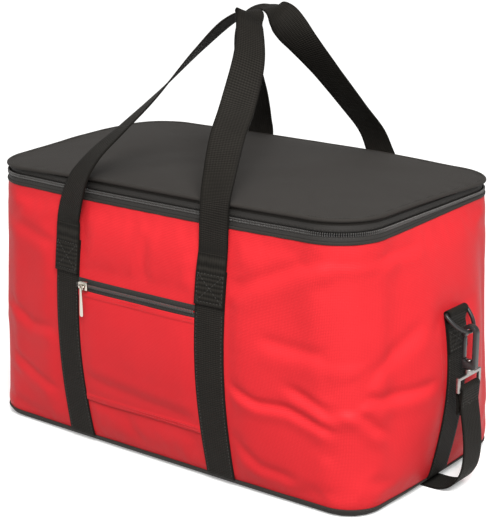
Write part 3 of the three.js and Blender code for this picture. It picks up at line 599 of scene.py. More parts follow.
def lay_grid(name, columns, rows, place, cut):
    """A primitive grid laid point by point; place takes the shares along and up, cut is its flat size."""
    start_clean()
    bpy.ops.mesh.primitive_grid_add(x_subdivisions=columns, y_subdivisions=rows, size=1, calc_uvs=True)
    piece = bpy.context.object
    piece.name = piece.data.name = name
    for vertex in piece.data.vertices:
        vertex.co = place(vertex.co.x + 0.5, vertex.co.y + 0.5)
    for spot in piece.data.uv_layers.active.data:
        spot.uv = (spot.uv.x * cut[0], spot.uv.y * cut[1])
    return piece


def thicken(piece, thickness, offset=-1.0, edge=0.0):
    """Gives a sheet its thickness, and rounds its cut edges."""
    apply_modifier(
        piece, "Thickness", "SOLIDIFY",
        thickness=thickness, offset=offset, use_even_offset=False, use_rim=True,
    )
    if edge:
        apply_modifier(
            piece, "Edge", "BEVEL", width=edge, segments=2, limit_method="ANGLE", angle_limit=math.radians(60)
        )
    smooth(piece)


def inflate(piece, sewn):
    """Blows padded cloth up between its seams by cloth simulation, and caps how far each point goes."""
    group = piece.vertex_groups.new(name="sewn")
    for index, weight in enumerate(sewn):
        group.add([index], weight, "REPLACE")
    start = [(vertex.co.copy(), vertex.normal.copy()) for vertex in piece.data.vertices]
    activate(piece)
    modifier = piece.modifiers.new("Cloth", "CLOTH")
    settings = modifier.settings
    settings.vertex_group_mass = "sewn"
    settings.quality = 6
    settings.mass = 0.2
    settings.tension_stiffness = settings.compression_stiffness = 20
    settings.shear_stiffness = 8
    settings.bending_stiffness = 0.3
    settings.use_pressure = True
    settings.uniform_pressure_force = WALL_PRESSURE
    settings.shrink_min = -WALL_SLACK
    settings.effector_weights.gravity = 0
    modifier.collision_settings.use_collision = False
    for number in range(1, WALL_FRAMES + 1):
        bpy.context.scene.frame_set(number)
    bpy.ops.object.modifier_apply(modifier="Cloth")
    bpy.context.scene.frame_set(1)
    piece.vertex_groups.clear()
    for vertex, (spot, out) in zip(piece.data.vertices, start):
        puff = (vertex.co - spot).dot(out)
        limit = MOST_PUFF if puff > 0 else MOST_DENT
        slide = vertex.co - spot - out * puff
        slide *= min(1, MOST_SLIDE / max(slide.length, 1e-9))
        vertex.co = spot + out * limit * math.tanh(puff / limit) + slide


def wall_spots(piece):
    """Place round the bag and height of each vertex of the wall, from its own UV."""
    spots = [None] * len(piece.data.vertices)
    for loop, spot in zip(piece.data.loops, piece.data.uv_layers.active.data):
        spots[loop.vertex_index] = (spot.uv.x, WALL_LOW_Z + spot.uv.y)
    return spots


def press_folds(piece):
    """Presses the folds into the padded wall, no deeper than the foam behind it."""
    moves = []
    for vertex, (a, z) in zip(piece.data.vertices, wall_spots(piece)):
        rest = wrap_point(a, z)
        rest.z += soft_rise(rest, z)
        room = max((vertex.co - rest).dot(vertex.normal) - LEAST_PUFF, 0)
        moves.append(vertex.normal * max(fold_height(a, z) * wall_hold(a, z), -room))
    for vertex, move in zip(piece.data.vertices, moves):
        vertex.co += move
    piece.data.update()


def rounded_box(low_o, high_o, low_z, high_z, radius, steps=3):
    """Cross-section with rounded corners, run up its outer side first."""
    corners = (
        (high_o - radius, low_z + radius, -90),
        (high_o - radius, high_z - radius, 0),
        (low_o + radius, high_z - radius, 90),
        (low_o + radius, low_z + radius, 180),
    )
    points = []
    for o, z, start in corners:
        for i in range(steps + 1):
            turn = math.radians(start + 90 * i / steps)
            points.append((o + radius * math.cos(turn), z + radius * math.sin(turn)))
    return points


def lay_trim(name, profile, span=(0.0, WRAP), columns=360, wobble=0.0):
    """Trim of a closed cross-section, run round the wall form; a full turn joins up with itself."""
    count = len(profile)
    full = abs(span[1] - span[0] - WRAP) < 1e-6

    def place(s, t):
        offset, z = profile[round(t * count) % count]
        a = mix(span[0], span[1], s)
        shift = cloth_noise.noise(wrap_point(a, z) * 30.0) * wobble
        p = wrap_point(a, z, offset + shift)
        return p + Vector((0, 0, shift * 0.6 + soft_rise(p, z)))

    girth = sum(math.dist(profile[i], profile[i - 1]) for i in range(count))
    piece = lay_grid(name, columns, count, place, (span[1] - span[0], girth))
    close_seams(piece, fill=not full, turn_out=True)
    smooth(piece)
    return piece


def outline_share(u, v):
    """Where a point of the unit square lies: its ring from the middle, and the place round the wall."""
    ring = max(abs(u), abs(v))
    if ring < 1e-9:
        return 0.0, 0.0
    u, v = u / ring, v / ring
    front, right = HALF_SHORT + ARC / 2, FRONT_MID + HALF_LONG + ARC / 2
    back, left = right + 2 * HALF_SHORT + ARC, right + 2 * HALF_SHORT + 2 * ARC + 2 * HALF_LONG
    if v <= -1 + 1e-9:
        return ring, mix(front, right, (u + 1) / 2)
    if u >= 1 - 1e-9:
        return ring, mix(right, back, (v + 1) / 2)
    if v >= 1 - 1e-9:
        return ring, mix(back, left, (1 - u) / 2)
    return ring, mix(left, front + WRAP, (1 - v) / 2)


def lay_panel(name, columns, rows, place):
    """Flat panel in rings from its middle to the wall's outline; place takes the ring and the place round."""

    def spot(s, t):
        ring, a = outline_share(2 * s - 1, 2 * t - 1)
        return place(ring, a)

    return lay_grid(name, columns, rows, spot, (MOUTH_LENGTH, MOUTH_WIDTH))


def smooth_route(keys, steps):
    """Centripetal curve through points, with even steps from key to key, as in the part's source."""
    keys = [Vector(k) for k in keys]
    ends = [2 * keys[0] - keys[1], *keys, 2 * keys[-1] - keys[-2]]
    route = []
    for i in range(steps + 1):
        at = i / steps * (len(keys) - 1)
        k = min(int(at), len(keys) - 2)
        level = ends[k:k + 4]
        gaps = [max((q - p).length ** 0.5, 1e-6) for p, q in zip(level, level[1:])]
        knots = [0, gaps[0], gaps[0] + gaps[1], sum(gaps)]
        t = knots[1] + (at - k) * gaps[1]
        for spans in (((0, 1), (1, 2), (2, 3)), ((0, 2), (1, 3)), ((1, 2),)):
            level = [
                (p * (knots[b] - t) + q * (t - knots[a])) / (knots[b] - knots[a])
                for p, q, (a, b) in zip(level, level[1:], spans)
            ]
        route.append(level[0])
    return route


def route_length(route):
    return sum((b - a).length for a, b in zip(route, route[1:]))


def lay_band(name, route, widths, sizes, columns=8):
    """Webbing laid along a route; widths gives its crosswise direction at each point."""
    count = len(route) - 1
    squared = []
    for i, across in enumerate(widths):
        along = (route[min(i + 1, count)] - route[max(i - 1, 0)]).normalized()
        squared.append((across - along * across.dot(along)).normalized())

    def place(s, t):
        i = round(t * count)
        return route[i] + squared[i] * (s - 0.5) * sizes.webbing_width

    piece = lay_grid(name, columns, count, place, (sizes.webbing_width, route_length(route)))
    thicken(piece, sizes.webbing_thickness, offset=0.0, edge=WEBBING_EDGE)
    return piece


def lay_strip(name, side, middle, low_z, high_z, sizes, lift):
    """Webbing strip sewn flat on a side of the wall."""
    half = sizes.webbing_width / 2

    def place(s, t):
        return wall_point(side, middle + (2 * s - 1) * half, mix(low_z, high_z, t), lift)

    piece = lay_grid(name, 8, 60, place, (sizes.webbing_width, high_z - low_z))
    thicken(piece, sizes.webbing_thickness, offset=0.0, edge=WEBBING_EDGE)
    return piece


def lay_tube(name, path, normal, radius, sides=14):
    """Round wire bent into a closed flat loop."""
    count = len(path)

    def place(s, t):
        i = round(s * count) % count
        along = (path[(i + 1) % count] - path[i - 1]).normalized()
        turn = 2 * math.pi * t
        return path[i] + along.cross(normal) * radius * math.cos(turn) + normal * radius * math.sin(turn)

    piece = lay_grid(name, count, sides, place, (route_length(path), 2 * math.pi * radius))
    close_seams(piece, turn_out=True)
    smooth(piece, 60)
    return piece


def dress_copy(name, node, edge, segments=2):
    """A copy of a rigid solid with its edges softened."""
    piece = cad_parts[node].copy()
    piece.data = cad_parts[node].data.copy()
    piece.parent = None
    piece.matrix_world = Matrix.Identity(4)
    for key in [k for k in piece.keys() if k.startswith("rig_")]:
        del piece[key]
    bpy.context.scene.collection.objects.link(piece)
    piece.hide_render = piece.hide_viewport = False
    piece.name = piece.data.name = name
    piece.data.materials.clear()
    activate(piece)
    bpy.ops.object.mode_set(mode="EDIT")
    bpy.ops.mesh.select_all(action="SELECT")
    bpy.ops.mesh.remove_doubles(threshold=1e-6)
    bpy.ops.mesh.dissolve_limited(angle_limit=math.radians(3))
    bpy.ops.object.mode_set(mode="OBJECT")
    apply_modifier(
        piece, "Edge", "BEVEL",
        width=edge, segments=segments, limit_method="ANGLE", angle_limit=math.radians(40),
    )
    smooth(piece, 40)
    return piece


def repeat_shape(name, pattern, places):
    """One mesh of many copies of a small shape, which is then removed."""
    points = np.array([v.co[:] for v in pattern.data.vertices])
    faces = [list(p.vertices) for p in pattern.data.polygons]
    spots, sides = [], []
    for i, place in enumerate(places):
        turn = np.array(place.to_3x3())
        spots.append(points @ turn.T + np.array(place.translation))
        sides += [[k + i * len(points) for k in face] for face in faces]
    mesh = bpy.data.meshes.new(name)
    mesh.from_pydata(np.concatenate(spots).tolist(), [], sides)
    mesh.polygons.foreach_set("use_smooth", [True] * len(mesh.polygons))
    piece = bpy.data.objects.new(name, mesh)
    bpy.context.scene.collection.objects.link(piece)
    bpy.data.objects.remove(pattern)
    return piece


def placing(point, along, out):
    """Matrix that sets a small shape down: X along the seam, Z out of the cloth."""
    x = along.normalized()
    z = (out - x * out.dot(x)).normalized()
    y = z.cross(x)
    return Matrix((
        (x.x, y.x, z.x, point.x),
        (x.y, y.y, z.y, point.y),
        (x.z, y.z, z.z, point.z),
        (0, 0, 0, 1),
    ))


def seam_places(line, pitch):
    """Places along a line of (point, outward) pairs, one stitch apart."""
    places, carry = [], pitch / 2
    for (p, out), (q, _) in zip(line, line[1:]):
        run = (q - p).length
        while carry < run:
            places.append(placing(p.lerp(q, carry / run), q - p, out))
            carry += pitch
        carry -= run
    return places


def sew(name, lines, sizes):
    """Thread stitches along lines; one stitch is modelled and repeated."""
    start_clean()
    bpy.ops.mesh.primitive_uv_sphere_add(segments=6, ring_count=4, radius=0.5)
    stitch = bpy.context.object
    for vertex in stitch.data.vertices:
        vertex.co.x *= sizes.stitch_length
        vertex.co.y *= sizes.stitch_width
        vertex.co.z *= sizes.stitch_width * 0.7
    places = []
    for line in lines:
        places += seam_places(line, sizes.stitch_pitch)
    return repeat_shape(name, stitch, places)


def zip_tooth(size, sizes):
    """One coil loop of a zip: a small rounded bar of a width and height."""
    start_clean()
    bpy.ops.mesh.primitive_cube_add(size=1)
    tooth = bpy.context.object
    width, height = size
    for vertex in tooth.data.vertices:
        vertex.co.x *= sizes.tooth_pitch * TOOTH_SHARE
        vertex.co.y *= width
        vertex.co.z *= height
    apply_modifier(tooth, "Round", "BEVEL", width=TOOTH_ROUND, segments=1)
    return tooth


def wall_line(side, points, lift):
    """Line on a side of the wall through (u, z) points, with the outward direction at each."""
    line = []
    for (u0, z0), (u1, z1) in zip(points, points[1:]):
        steps = max(2, int(math.hypot(u1 - u0, z1 - z0) / SEAM_STEP))
        for i in range(steps + 1):
            u, z = mix(u0, u1, i / steps), mix(z0, z1, i / steps)
            p = wall_point(side, u, z, lift)
            line.append((p, wall_point(side, u, z, lift + 0.01) - p))
    return line


def box_tack(side, middle, low_z, high_z, half, lift):
    """Lines of a tack: a sewn box with a cross in it."""
    left, right = middle - half, middle + half
    box = [(left, low_z), (right, low_z), (right, high_z), (left, high_z), (left, low_z)]
    return [
        wall_line(side, box, lift),
        wall_line(side, [(left, low_z), (right, high_z)], lift),
        wall_line(side, [(right, low_z), (left, high_z)], lift),
    ]


def wrap_line(z, offset, span=(0.0, WRAP), steps=500):
    """Line round the wall at one height, with the outward direction at each point."""
    line = []
    for i in range(steps + 1):
        a = mix(span[0], span[1], i / steps)
        p = wrap_point(a, z, offset)
        out = wrap_point(a, z, offset + 0.01) - p
        line.append((p + Vector((0, 0, soft_rise(p, z))), out))
    return line


def dress(piece, body, material, slot, *nodes):
    """Gives a piece its material, its body and the solids that it stands for; the slot is not used."""
    piece.data.materials.clear()
    piece.data.materials.append(bpy.data.materials[material])
    if body:
        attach(piece, body)
    if nodes:
        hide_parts(*nodes)
    return piece


# Materials

# Real sizes of the patterns, in metres: mottling and nap of cloth, wear and ribs of webbing, facets of film
MOTTLE_SIZE = 0.045
NAP_SIZE = 0.004
WEAR_SIZE = 0.020
FACET_SIZE = 0.016
CRINKLE_SIZE = 0.030
RIB_RELIEF = 0.0006
FOIL_RELIEF = 0.002
CORDS_ACROSS = 12
SELVEDGE = (0.0006, 0.0028)


def add_node(tree, kind, sockets=None, **settings):
    """One node with its settings; a socket given another node's output is linked."""
    node = tree.nodes.new(kind)
    for key, value in settings.items():
        setattr(node, key, value)
    for key, value in (sockets or {}).items():
        if isinstance(value, bpy.types.NodeSocket):
            tree.links.new(value, node.inputs[key])
        else:
            node.inputs[key].default_value = value
    return node


def new_material(name, sockets):
    """Material with one shader; returns its tree and shader."""
    material = bpy.data.materials.new(name)
    material.use_nodes = True
    tree = material.node_tree
    tree.nodes.clear()
    shader = add_node(tree, "ShaderNodeBsdfPrincipled", sockets)
    add_node(tree, "ShaderNodeOutputMaterial", {"Surface": shader.outputs["BSDF"]})
    return tree, shader


def shade(colour, factor):
    return (*(min(c * factor, 1) for c in colour), 1)


def band_scale(pitch):
    """Scale of a wave texture whose bands lie this far apart."""
    return math.pi / 10 / pitch


def woven_material(name, colour, pitch, relief_shade_contrast, relief, mottle, sockets):
    """Plain-woven cloth on the piece's own UV: crossing threads, faint mottling, thread relief, and painted
    shade in the troughs between threads with painted light on their crowns.
    """
    tree, shader = new_material(name, sockets)
    where = add_node(tree, "ShaderNodeTexCoord")
    thread = {"Vector": where.outputs["UV"], "Scale": band_scale(pitch), "Distortion": 0.4}
    warp = add_node(tree, "ShaderNodeTexWave", thread, bands_direction="X")
    weft = add_node(tree, "ShaderNodeTexWave", thread, bands_direction="Y")
    threads = add_node(
        tree, "ShaderNodeMath", {0: warp.outputs["Fac"], 1: weft.outputs["Fac"]}, operation="MULTIPLY"
    )
    patches = add_node(
        tree, "ShaderNodeTexNoise",
        {"Vector": where.outputs["Object"], "Scale": 1 / MOTTLE_SIZE, "Detail": 5.0, "Roughness": 0.62},
    )
    tone = add_node(
        tree, "ShaderNodeMix",
        {0: patches.outputs["Fac"], 6: shade(colour, 1 - mottle), 7: shade(colour, 1 + mottle)},
        data_type="RGBA",
    )
    # Painted shade and light: the thread pattern darkens the colour in its troughs and lightens it on the
    # crowns
    painted_relief_shade = add_node(
        tree, "ShaderNodeMapRange",
        {"Value": threads.outputs["Value"], "To Min": 1 - relief_shade_contrast, "To Max": 1 + relief_shade_contrast},
    )
    final = add_node(
        tree, "ShaderNodeMix", {0: 1.0, 6: tone.outputs[2], 7: painted_relief_shade.outputs["Result"]},
        data_type="RGBA", blend_type="MULTIPLY",
    )
    nap = add_node(
        tree, "ShaderNodeTexNoise", {"Vector": where.outputs["Object"], "Scale": 1 / NAP_SIZE, "Detail": 3.0}
    )
    height = add_node(
        tree, "ShaderNodeMath", {0: nap.outputs["Fac"], 1: 0.6, 2: threads.outputs["Value"]},
        operation="MULTIPLY_ADD",
    )
    bump = add_node(
        tree, "ShaderNodeBump", {"Height": height.outputs["Value"], "Strength": 0.5, "Distance": relief}
    )
    tree.links.new(final.outputs[2], shader.inputs["Base Color"])
    tree.links.new(bump.outputs["Normal"], shader.inputs["Normal"])


def webbing_material(name, colour, sizes):
    """Ribbed polypropylene webbing: ribs across, a tight selvedge along each edge, a dull shine, and painted
    shade between the ribs and on the selvedges with painted light on the rib crowns.
    """
    tree, shader = new_material(
        name, {"Roughness": 0.62, "Specular IOR Level": 0.05, "Sheen Weight": 0.01, "Sheen Roughness": 0.45}
    )
    where = add_node(tree, "ShaderNodeTexCoord")
    split = add_node(tree, "ShaderNodeSeparateXYZ", {"Vector": where.outputs["UV"]})
    # Ribs are about 1.3 mm apart on the real thing, drawn wider so that they show
    rib = {"Scale": band_scale(sizes.rib_pitch), "Distortion": 0.8, "Detail": 1.0, "Detail Scale": 1.5}
    ribs = add_node(
        tree, "ShaderNodeTexWave", {"Vector": where.outputs["UV"], **rib}, bands_direction="Y"
    )
    cord = {"Scale": band_scale(sizes.webbing_width / CORDS_ACROSS), "Distortion": 0.5}
    cords = add_node(
        tree, "ShaderNodeTexWave", {"Vector": where.outputs["UV"], **cord}, bands_direction="X"
    )
    grid = add_node(
        tree, "ShaderNodeMath", {0: cords.outputs["Fac"], 1: 0.45, 2: ribs.outputs["Fac"]},
        operation="MULTIPLY_ADD",
    )
    half = sizes.webbing_width / 2
    middle = add_node(tree, "ShaderNodeMath", {0: split.outputs["X"], 1: half}, operation="SUBTRACT")
    away = add_node(tree, "ShaderNodeMath", {0: middle.outputs["Value"]}, operation="ABSOLUTE")
    inside = add_node(
        tree, "ShaderNodeMapRange",
        {"Value": away.outputs["Value"], "From Min": half - SELVEDGE[0], "From Max": half - SELVEDGE[1],
         "To Min": 0.15, "To Max": 1.0},
    )
    height = add_node(
        tree, "ShaderNodeMath", {0: grid.outputs["Value"], 1: inside.outputs["Result"]}, operation="MULTIPLY"
    )
    wear = add_node(
        tree, "ShaderNodeTexNoise", {"Vector": where.outputs["Object"], "Scale": 1 / WEAR_SIZE, "Detail": 4.0}
    )
    tone = add_node(
        tree, "ShaderNodeMix", {0: wear.outputs["Fac"], 6: shade(colour, 0.82), 7: shade(colour, 1.2)},
        data_type="RGBA",
    )
    # Painted shade and light: the rib height darkens the colour between ribs and at the selvedges, and
    # lightens it on the crowns
    painted_relief_shade = add_node(
        tree, "ShaderNodeMapRange",
        {"Value": height.outputs["Value"], "From Max": 1.4, "To Min": 0.45, "To Max": 1.5},
    )
    final = add_node(
        tree, "ShaderNodeMix", {0: 1.0, 6: tone.outputs[2], 7: painted_relief_shade.outputs["Result"]},
        data_type="RGBA", blend_type="MULTIPLY",
    )
    bump = add_node(
        tree, "ShaderNodeBump", {"Height": height.outputs["Value"], "Strength": 0.7, "Distance": RIB_RELIEF}
    )
    tree.links.new(final.outputs[2], shader.inputs["Base Color"])
    tree.links.new(bump.outputs["Normal"], shader.inputs["Normal"])


def grained_material(name, colour, grain, spread, relief, sockets):
    """Moulded, plated or foamed surface: fine grain in tone, gloss and relief."""
    tree, shader = new_material(name, sockets)
    where = add_node(tree, "ShaderNodeTexCoord")
    fine = add_node(
        tree, "ShaderNodeTexNoise",
        {"Vector": where.outputs["Object"], "Scale": 1 / grain, "Detail": 4.0, "Roughness": 0.6},
    )
    tone = add_node(
        tree, "ShaderNodeMix",
        {0: fine.outputs["Fac"], 6: shade(colour, 1 - spread), 7: shade(colour, 1 + spread)},
        data_type="RGBA",
    )
    base = sockets["Roughness"]
    gloss = add_node(
        tree, "ShaderNodeMapRange",
        {"Value": fine.outputs["Fac"], "To Min": base * 0.75, "To Max": min(base * 1.25, 1)},
    )
    bump = add_node(
        tree, "ShaderNodeBump", {"Height": fine.outputs["Fac"], "Strength": 0.4, "Distance": relief}
    )
    tree.links.new(tone.outputs[2], shader.inputs["Base Color"])
    tree.links.new(gloss.outputs["Result"], shader.inputs["Roughness"])
    tree.links.new(bump.outputs["Normal"], shader.inputs["Normal"])


def foil_material(name, colour):
    """Metallised film on foam: bright, crinkled into small facets."""
    tree, shader = new_material(name, {"Metallic": 0.9, "Roughness": 0.32})
    where = add_node(tree, "ShaderNodeTexCoord")
    facets = add_node(
        tree, "ShaderNodeTexVoronoi", {"Vector": where.outputs["Object"], "Scale": 1 / FACET_SIZE},
        feature="F1",
    )
    crinkle = add_node(
        tree, "ShaderNodeTexNoise",
        {"Vector": where.outputs["Object"], "Scale": 1 / CRINKLE_SIZE, "Detail": 6.0, "Roughness": 0.65},
    )
    height = add_node(
        tree, "ShaderNodeMath", {0: facets.outputs["Distance"], 1: 0.6, 2: crinkle.outputs["Fac"]},
        operation="MULTIPLY_ADD",
    )
    tone = add_node(
        tree, "ShaderNodeMix", {0: crinkle.outputs["Fac"], 6: shade(colour, 0.85), 7: shade(colour, 1.08)},
        data_type="RGBA",
    )
    bump = add_node(
        tree, "ShaderNodeBump", {"Height": height.outputs["Value"], "Strength": 0.6, "Distance": FOIL_RELIEF}
    )
    tree.links.new(tone.outputs[2], shader.inputs["Base Color"])
    tree.links.new(bump.outputs["Normal"], shader.inputs["Normal"])


# Operators


class MakeMaterials(bpy.types.Operator):
    """Make the bag's materials."""

    bl_idname = "foodbag.materials"
    bl_label = "Materials"

    def execute(self, context):
        sizes, colours = context.scene.food_bag_sizes, context.scene.food_bag_colours
        # Coated polyester, plain weave: matt and even, threads too fine to count, drawn coarser
        woven_material(
            "red_polyester", colours.red, sizes.weave_pitch, 0.09, 0.00035, 0.06,
            {"Roughness": 0.5, "Specular IOR Level": 0.1},
        )
        # Same cloth in black: a soft grey bloom under a high light
        woven_material(
            "black_polyester", colours.black, sizes.weave_pitch, 0.10, 0.0004, 0.09,
            {"Roughness": 0.8, "Specular IOR Level": 0.14, "Sheen Weight": 0.03, "Sheen Roughness": 0.5},
        )
        # Zip tape: fine twill, a little lighter and smoother than the cloth
        woven_material(
            "polyester_twill", colours.zip_tape, sizes.weave_pitch * 0.8, 0.16, 0.0004, 0.06,
            {"Roughness": 0.66, "Specular IOR Level": 0.2, "Sheen Weight": 0.03, "Sheen Roughness": 0.4},
        )
        webbing_material("polypropylene_webbing", colours.webbing, sizes)
        # Nylon monofilament: small rounded glints
        grained_material("nylon_coil", colours.coil, 0.003, 0.08, 0.00005, {"Roughness": 0.34, "IOR": 1.53})
        # Polyester thread: dull, slightly lighter than what it sews
        for name, colour in (("red", shade(colours.red, 0.8)), ("black", shade(colours.webbing, 1.35))):
            grained_material(f"{name}_thread", colour[:3], 0.0015, 0.12, 0.0002, {"Roughness": 0.6})
        foil_material("metallised_film", colours.foil)
        # Polyethylene foam: chalky white, tiny cells
        grained_material("polyethylene_foam", colours.foam, 0.002, 0.05, 0.0003, {"Roughness": 0.9})
        # Nickel-plated zinc: warm, bright, softly worn
        grained_material(
            "nickel_plated_zinc", colours.bright_metal, 0.006, 0.06, 0.00004,
            {"Roughness": 0.24, "Metallic": 1.0},
        )
        # Zinc-plated steel wire: grey, satin
        grained_material(
            "zinc_plated_steel", colours.grey_metal, 0.005, 0.08, 0.00005,
            {"Roughness": 0.34, "Metallic": 1.0},
        )
        # Acetal: moulded black plastic with a waxy shine
        grained_material("acetal", colours.acetal, 0.002, 0.08, 0.00004, {"Roughness": 0.38, "IOR": 1.48})
        return {"FINISHED"}


class MakeCamera(bpy.types.Operator):
    """Set the camera at the photograph's angle."""

    bl_idname = "foodbag.camera"
    bl_label = "Camera"

    def execute(self, context):
        flat = math.cos(CAMERA_ELEVATION)
        back = Vector((
            math.sin(CAMERA_AZIMUTH) * flat,
            -math.cos(CAMERA_AZIMUTH) * flat,
            math.sin(CAMERA_ELEVATION),
        ))
        start_clean()
        bpy.ops.object.camera_add(location=CAMERA_TARGET + back * CAMERA_DISTANCE)
        camera = context.object
        camera.rotation_euler = back.to_track_quat("Z", "Y").to_euler()
        camera.data.sensor_fit = "HORIZONTAL"
        camera.data.sensor_width = SENSOR_WIDTH
        camera.data.lens = FOCAL_PIXELS * SENSOR_WIDTH / PHOTO_SIZE[0]
        camera.data.shift_x = (PHOTO_SIZE[0] / 2 - AXIS_PIXEL[0]) / PHOTO_SIZE[0]
        camera.data.shift_y = (AXIS_PIXEL[1] - PHOTO_SIZE[1] / 2) / PHOTO_SIZE[0]
        context.scene.camera = camera
        return {"FINISHED"}


class MakeShoulderStrap(bpy.types.Operator):
    """Hang the shoulder strap from both clips and lay it under the base."""

    bl_idname = "foodbag.strap"
    bl_label = "Shoulder strap"

    def execute(self, context):
        sizes = context.scene.food_bag_sizes
        drop = STRAP_FLOOR_Z - STRAP_TOP_Z
        half = [(HOOK_X + x, 0, STRAP_TOP_Z + drop * share) for x, share in STRAP_DROP]
        half += [(BASE_LENGTH * share, 0, STRAP_FLOOR_Z) for share in (0.48, 0.32, 0.16, 0)]
        whole = half + [(-x, y, z) for x, y, z in reversed(half[:-1])]
        route = smooth_route(whole, STRAP_STEPS)
        middle = STRAP_STEPS // 2
        for name, hand, run in (("right", 1, route[:middle + 1]), ("left", -1, route[middle:][::-1])):
            strap = lay_band(f"shoulder_strap_{name}", run, [Vector((0, 1, 0))] * len(run), sizes)
            dress(strap, None, "polypropylene_webbing", "webbing", "shoulder_strap")
            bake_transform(strap)
            route_length(run)
            self.end_loop(name, hand, sizes)
        return {"FINISHED"}

    def end_loop(self, name, hand, sizes):
        """Turned end of the strap round the ring's lower bar, sewn below it."""
        keys = list(STRAP_LOOP_LEG)
        for angle in (10, 50, 90, 130, 170):
            turn = math.radians(angle)
            keys.append((STRAP_LOOP_R * math.cos(turn), STRAP_RING_BAR_Z + STRAP_LOOP_R * math.sin(turn)))
        keys += [(-x, z) for x, z in reversed(STRAP_LOOP_LEG)]
        run = smooth_route([(hand * (HOOK_X + x), 0, z) for x, z in keys], 72)
        loop = lay_band(f"{name}_strap_end", run, [Vector((0, 1, 0))] * len(run), sizes)
        dress(loop, f"{name}_clip", "polypropylene_webbing", "webbing")
        out = Vector((hand, 0, 0))
        face = hand * (HOOK_X + STRAP_LOOP_LEG[0][0] + sizes.webbing_thickness / 2)
        rows = []
        for corners in ((0, 1, 2, 3, 0), (0, 2), (1, 3)):
            rows.append([(Vector((face, *STRAP_TACK[corner])), out) for corner in corners])
        dress(sew(f"{name}_strap_end_stitches", rows, sizes), f"{name}_clip", "black_thread", "webbing")


class MakeWalls(bpy.types.Operator):
    """Wrap the red cloth round the bag, with its folds and seam puckers."""

    bl_idname = "foodbag.walls"
    bl_label = "Walls"

    def execute(self, context):
        sizes = context.scene.food_bag_sizes

        def place(s, t):
            a, z = s * WRAP, mix(WALL_LOW_Z, MOUTH_Z, t)
            p = wrap_point(a, z, wall_wrinkle(a, z, sizes.wrinkle_depth))
            return p + Vector((0, 0, soft_rise(p, z)))

        shell = lay_grid("red_wall", 210, 42, place, (WRAP, MOUTH_Z - WALL_LOW_Z))
        close_seams(shell)
        inflate(shell, [1 - wall_hold(a, z) for a, z in wall_spots(shell)])
        apply_modifier(shell, "Smooth", "SUBSURF", levels=1, render_levels=1)
        press_folds(shell)
        thicken(shell, sizes.cloth_thickness)
        dress(shell, "root", "red_polyester", "red_cloth", "front_panel", "back_panel")
        return {"FINISHED"}


class MakeBindings(bpy.types.Operator):
    """Bind the mouth, the rim and the base seam with black tape."""

    bl_idname = "foodbag.bindings"
    bl_label = "Bindings"

    def execute(self, context):
        sizes = context.scene.food_bag_sizes
        mouth = lay_trim("mouth_binding_tape", rounded_box(*MOUTH_TAPE), wobble=MOUTH_WOBBLE)
        dress(mouth, "root", "black_polyester", "black_cloth", "mouth_binding")
        rim = lay_trim("rim_tape", rounded_box(*RIM_TAPE))
        dress(rim, "root", "black_polyester", "black_cloth")
        base = lay_trim("base_binding_tape", rounded_box(*BASE_TAPE), wobble=BASE_WOBBLE)
        dress(base, "root", "black_polyester", "black_cloth", "base_binding")
        rows = [wrap_line(*MOUTH_STITCHES), wrap_line(*BASE_STITCHES)]
        dress(sew("binding_stitches", rows, sizes), "root", "black_thread", "black_cloth")
        return {"FINISHED"}


class MakeLining(bpy.types.Operator):
    """Line the bag and the lid with crinkled film."""

    bl_idname = "foodbag.lining"
    bl_label = "Lining"

    def execute(self, context):
        def tray(ring, a):
            floor = LINER_FLOOR_SHARE
            if ring <= floor:
                edge = wrap_point(a, *LINER_FLOOR_EDGE)
                p = Vector((edge.x * ring / floor, edge.y * ring / floor, LINER_FLOOR_Z))
                return p + Vector((0, 0, abs(crumple(p, LINER_FLOOR_CRUMPLE))))
            z = mix(LINER_LOW_Z, LINER_HIGH_Z, (ring - floor) / (1 - floor))
            p = wrap_point(a, z)
            held = ramp(z, LINER_LOW_Z, 0.05) * (1 - ramp(z, 0.25, 0.295))
            p = wrap_point(a, z, LINER_OFFSET - abs(crumple(p, LINER_WALL_CRUMPLE)) * held)
            return p + Vector((0, 0, soft_rise(p, z)))

        liner = lay_panel("foil_liner", 150, 130, tray)
        thicken(liner, LINER_THICKNESS, offset=1.0)
        dress(liner, "root", "metallised_film", "foil_lining", "lining")

        def under_lid(ring, a):
            edge = wrap_point(a, MOUTH_Z, LID_LINER_OFFSET)
            p = Vector((edge.x * ring, edge.y * ring, LID_LINER_Z))
            drop = lid_sag(p) * 0.2 + abs(crumple(p, LID_LINER_CRUMPLE)) * (1 - ring**6)
            return p - Vector((0, 0, drop))

        lid = lay_panel("lid_foil", 90, 60, under_lid)
        thicken(lid, LINER_THICKNESS, offset=1.0)
        dress(lid, "lid", "metallised_film", "foil_lining", "lid_lining")
        return {"FINISHED"}


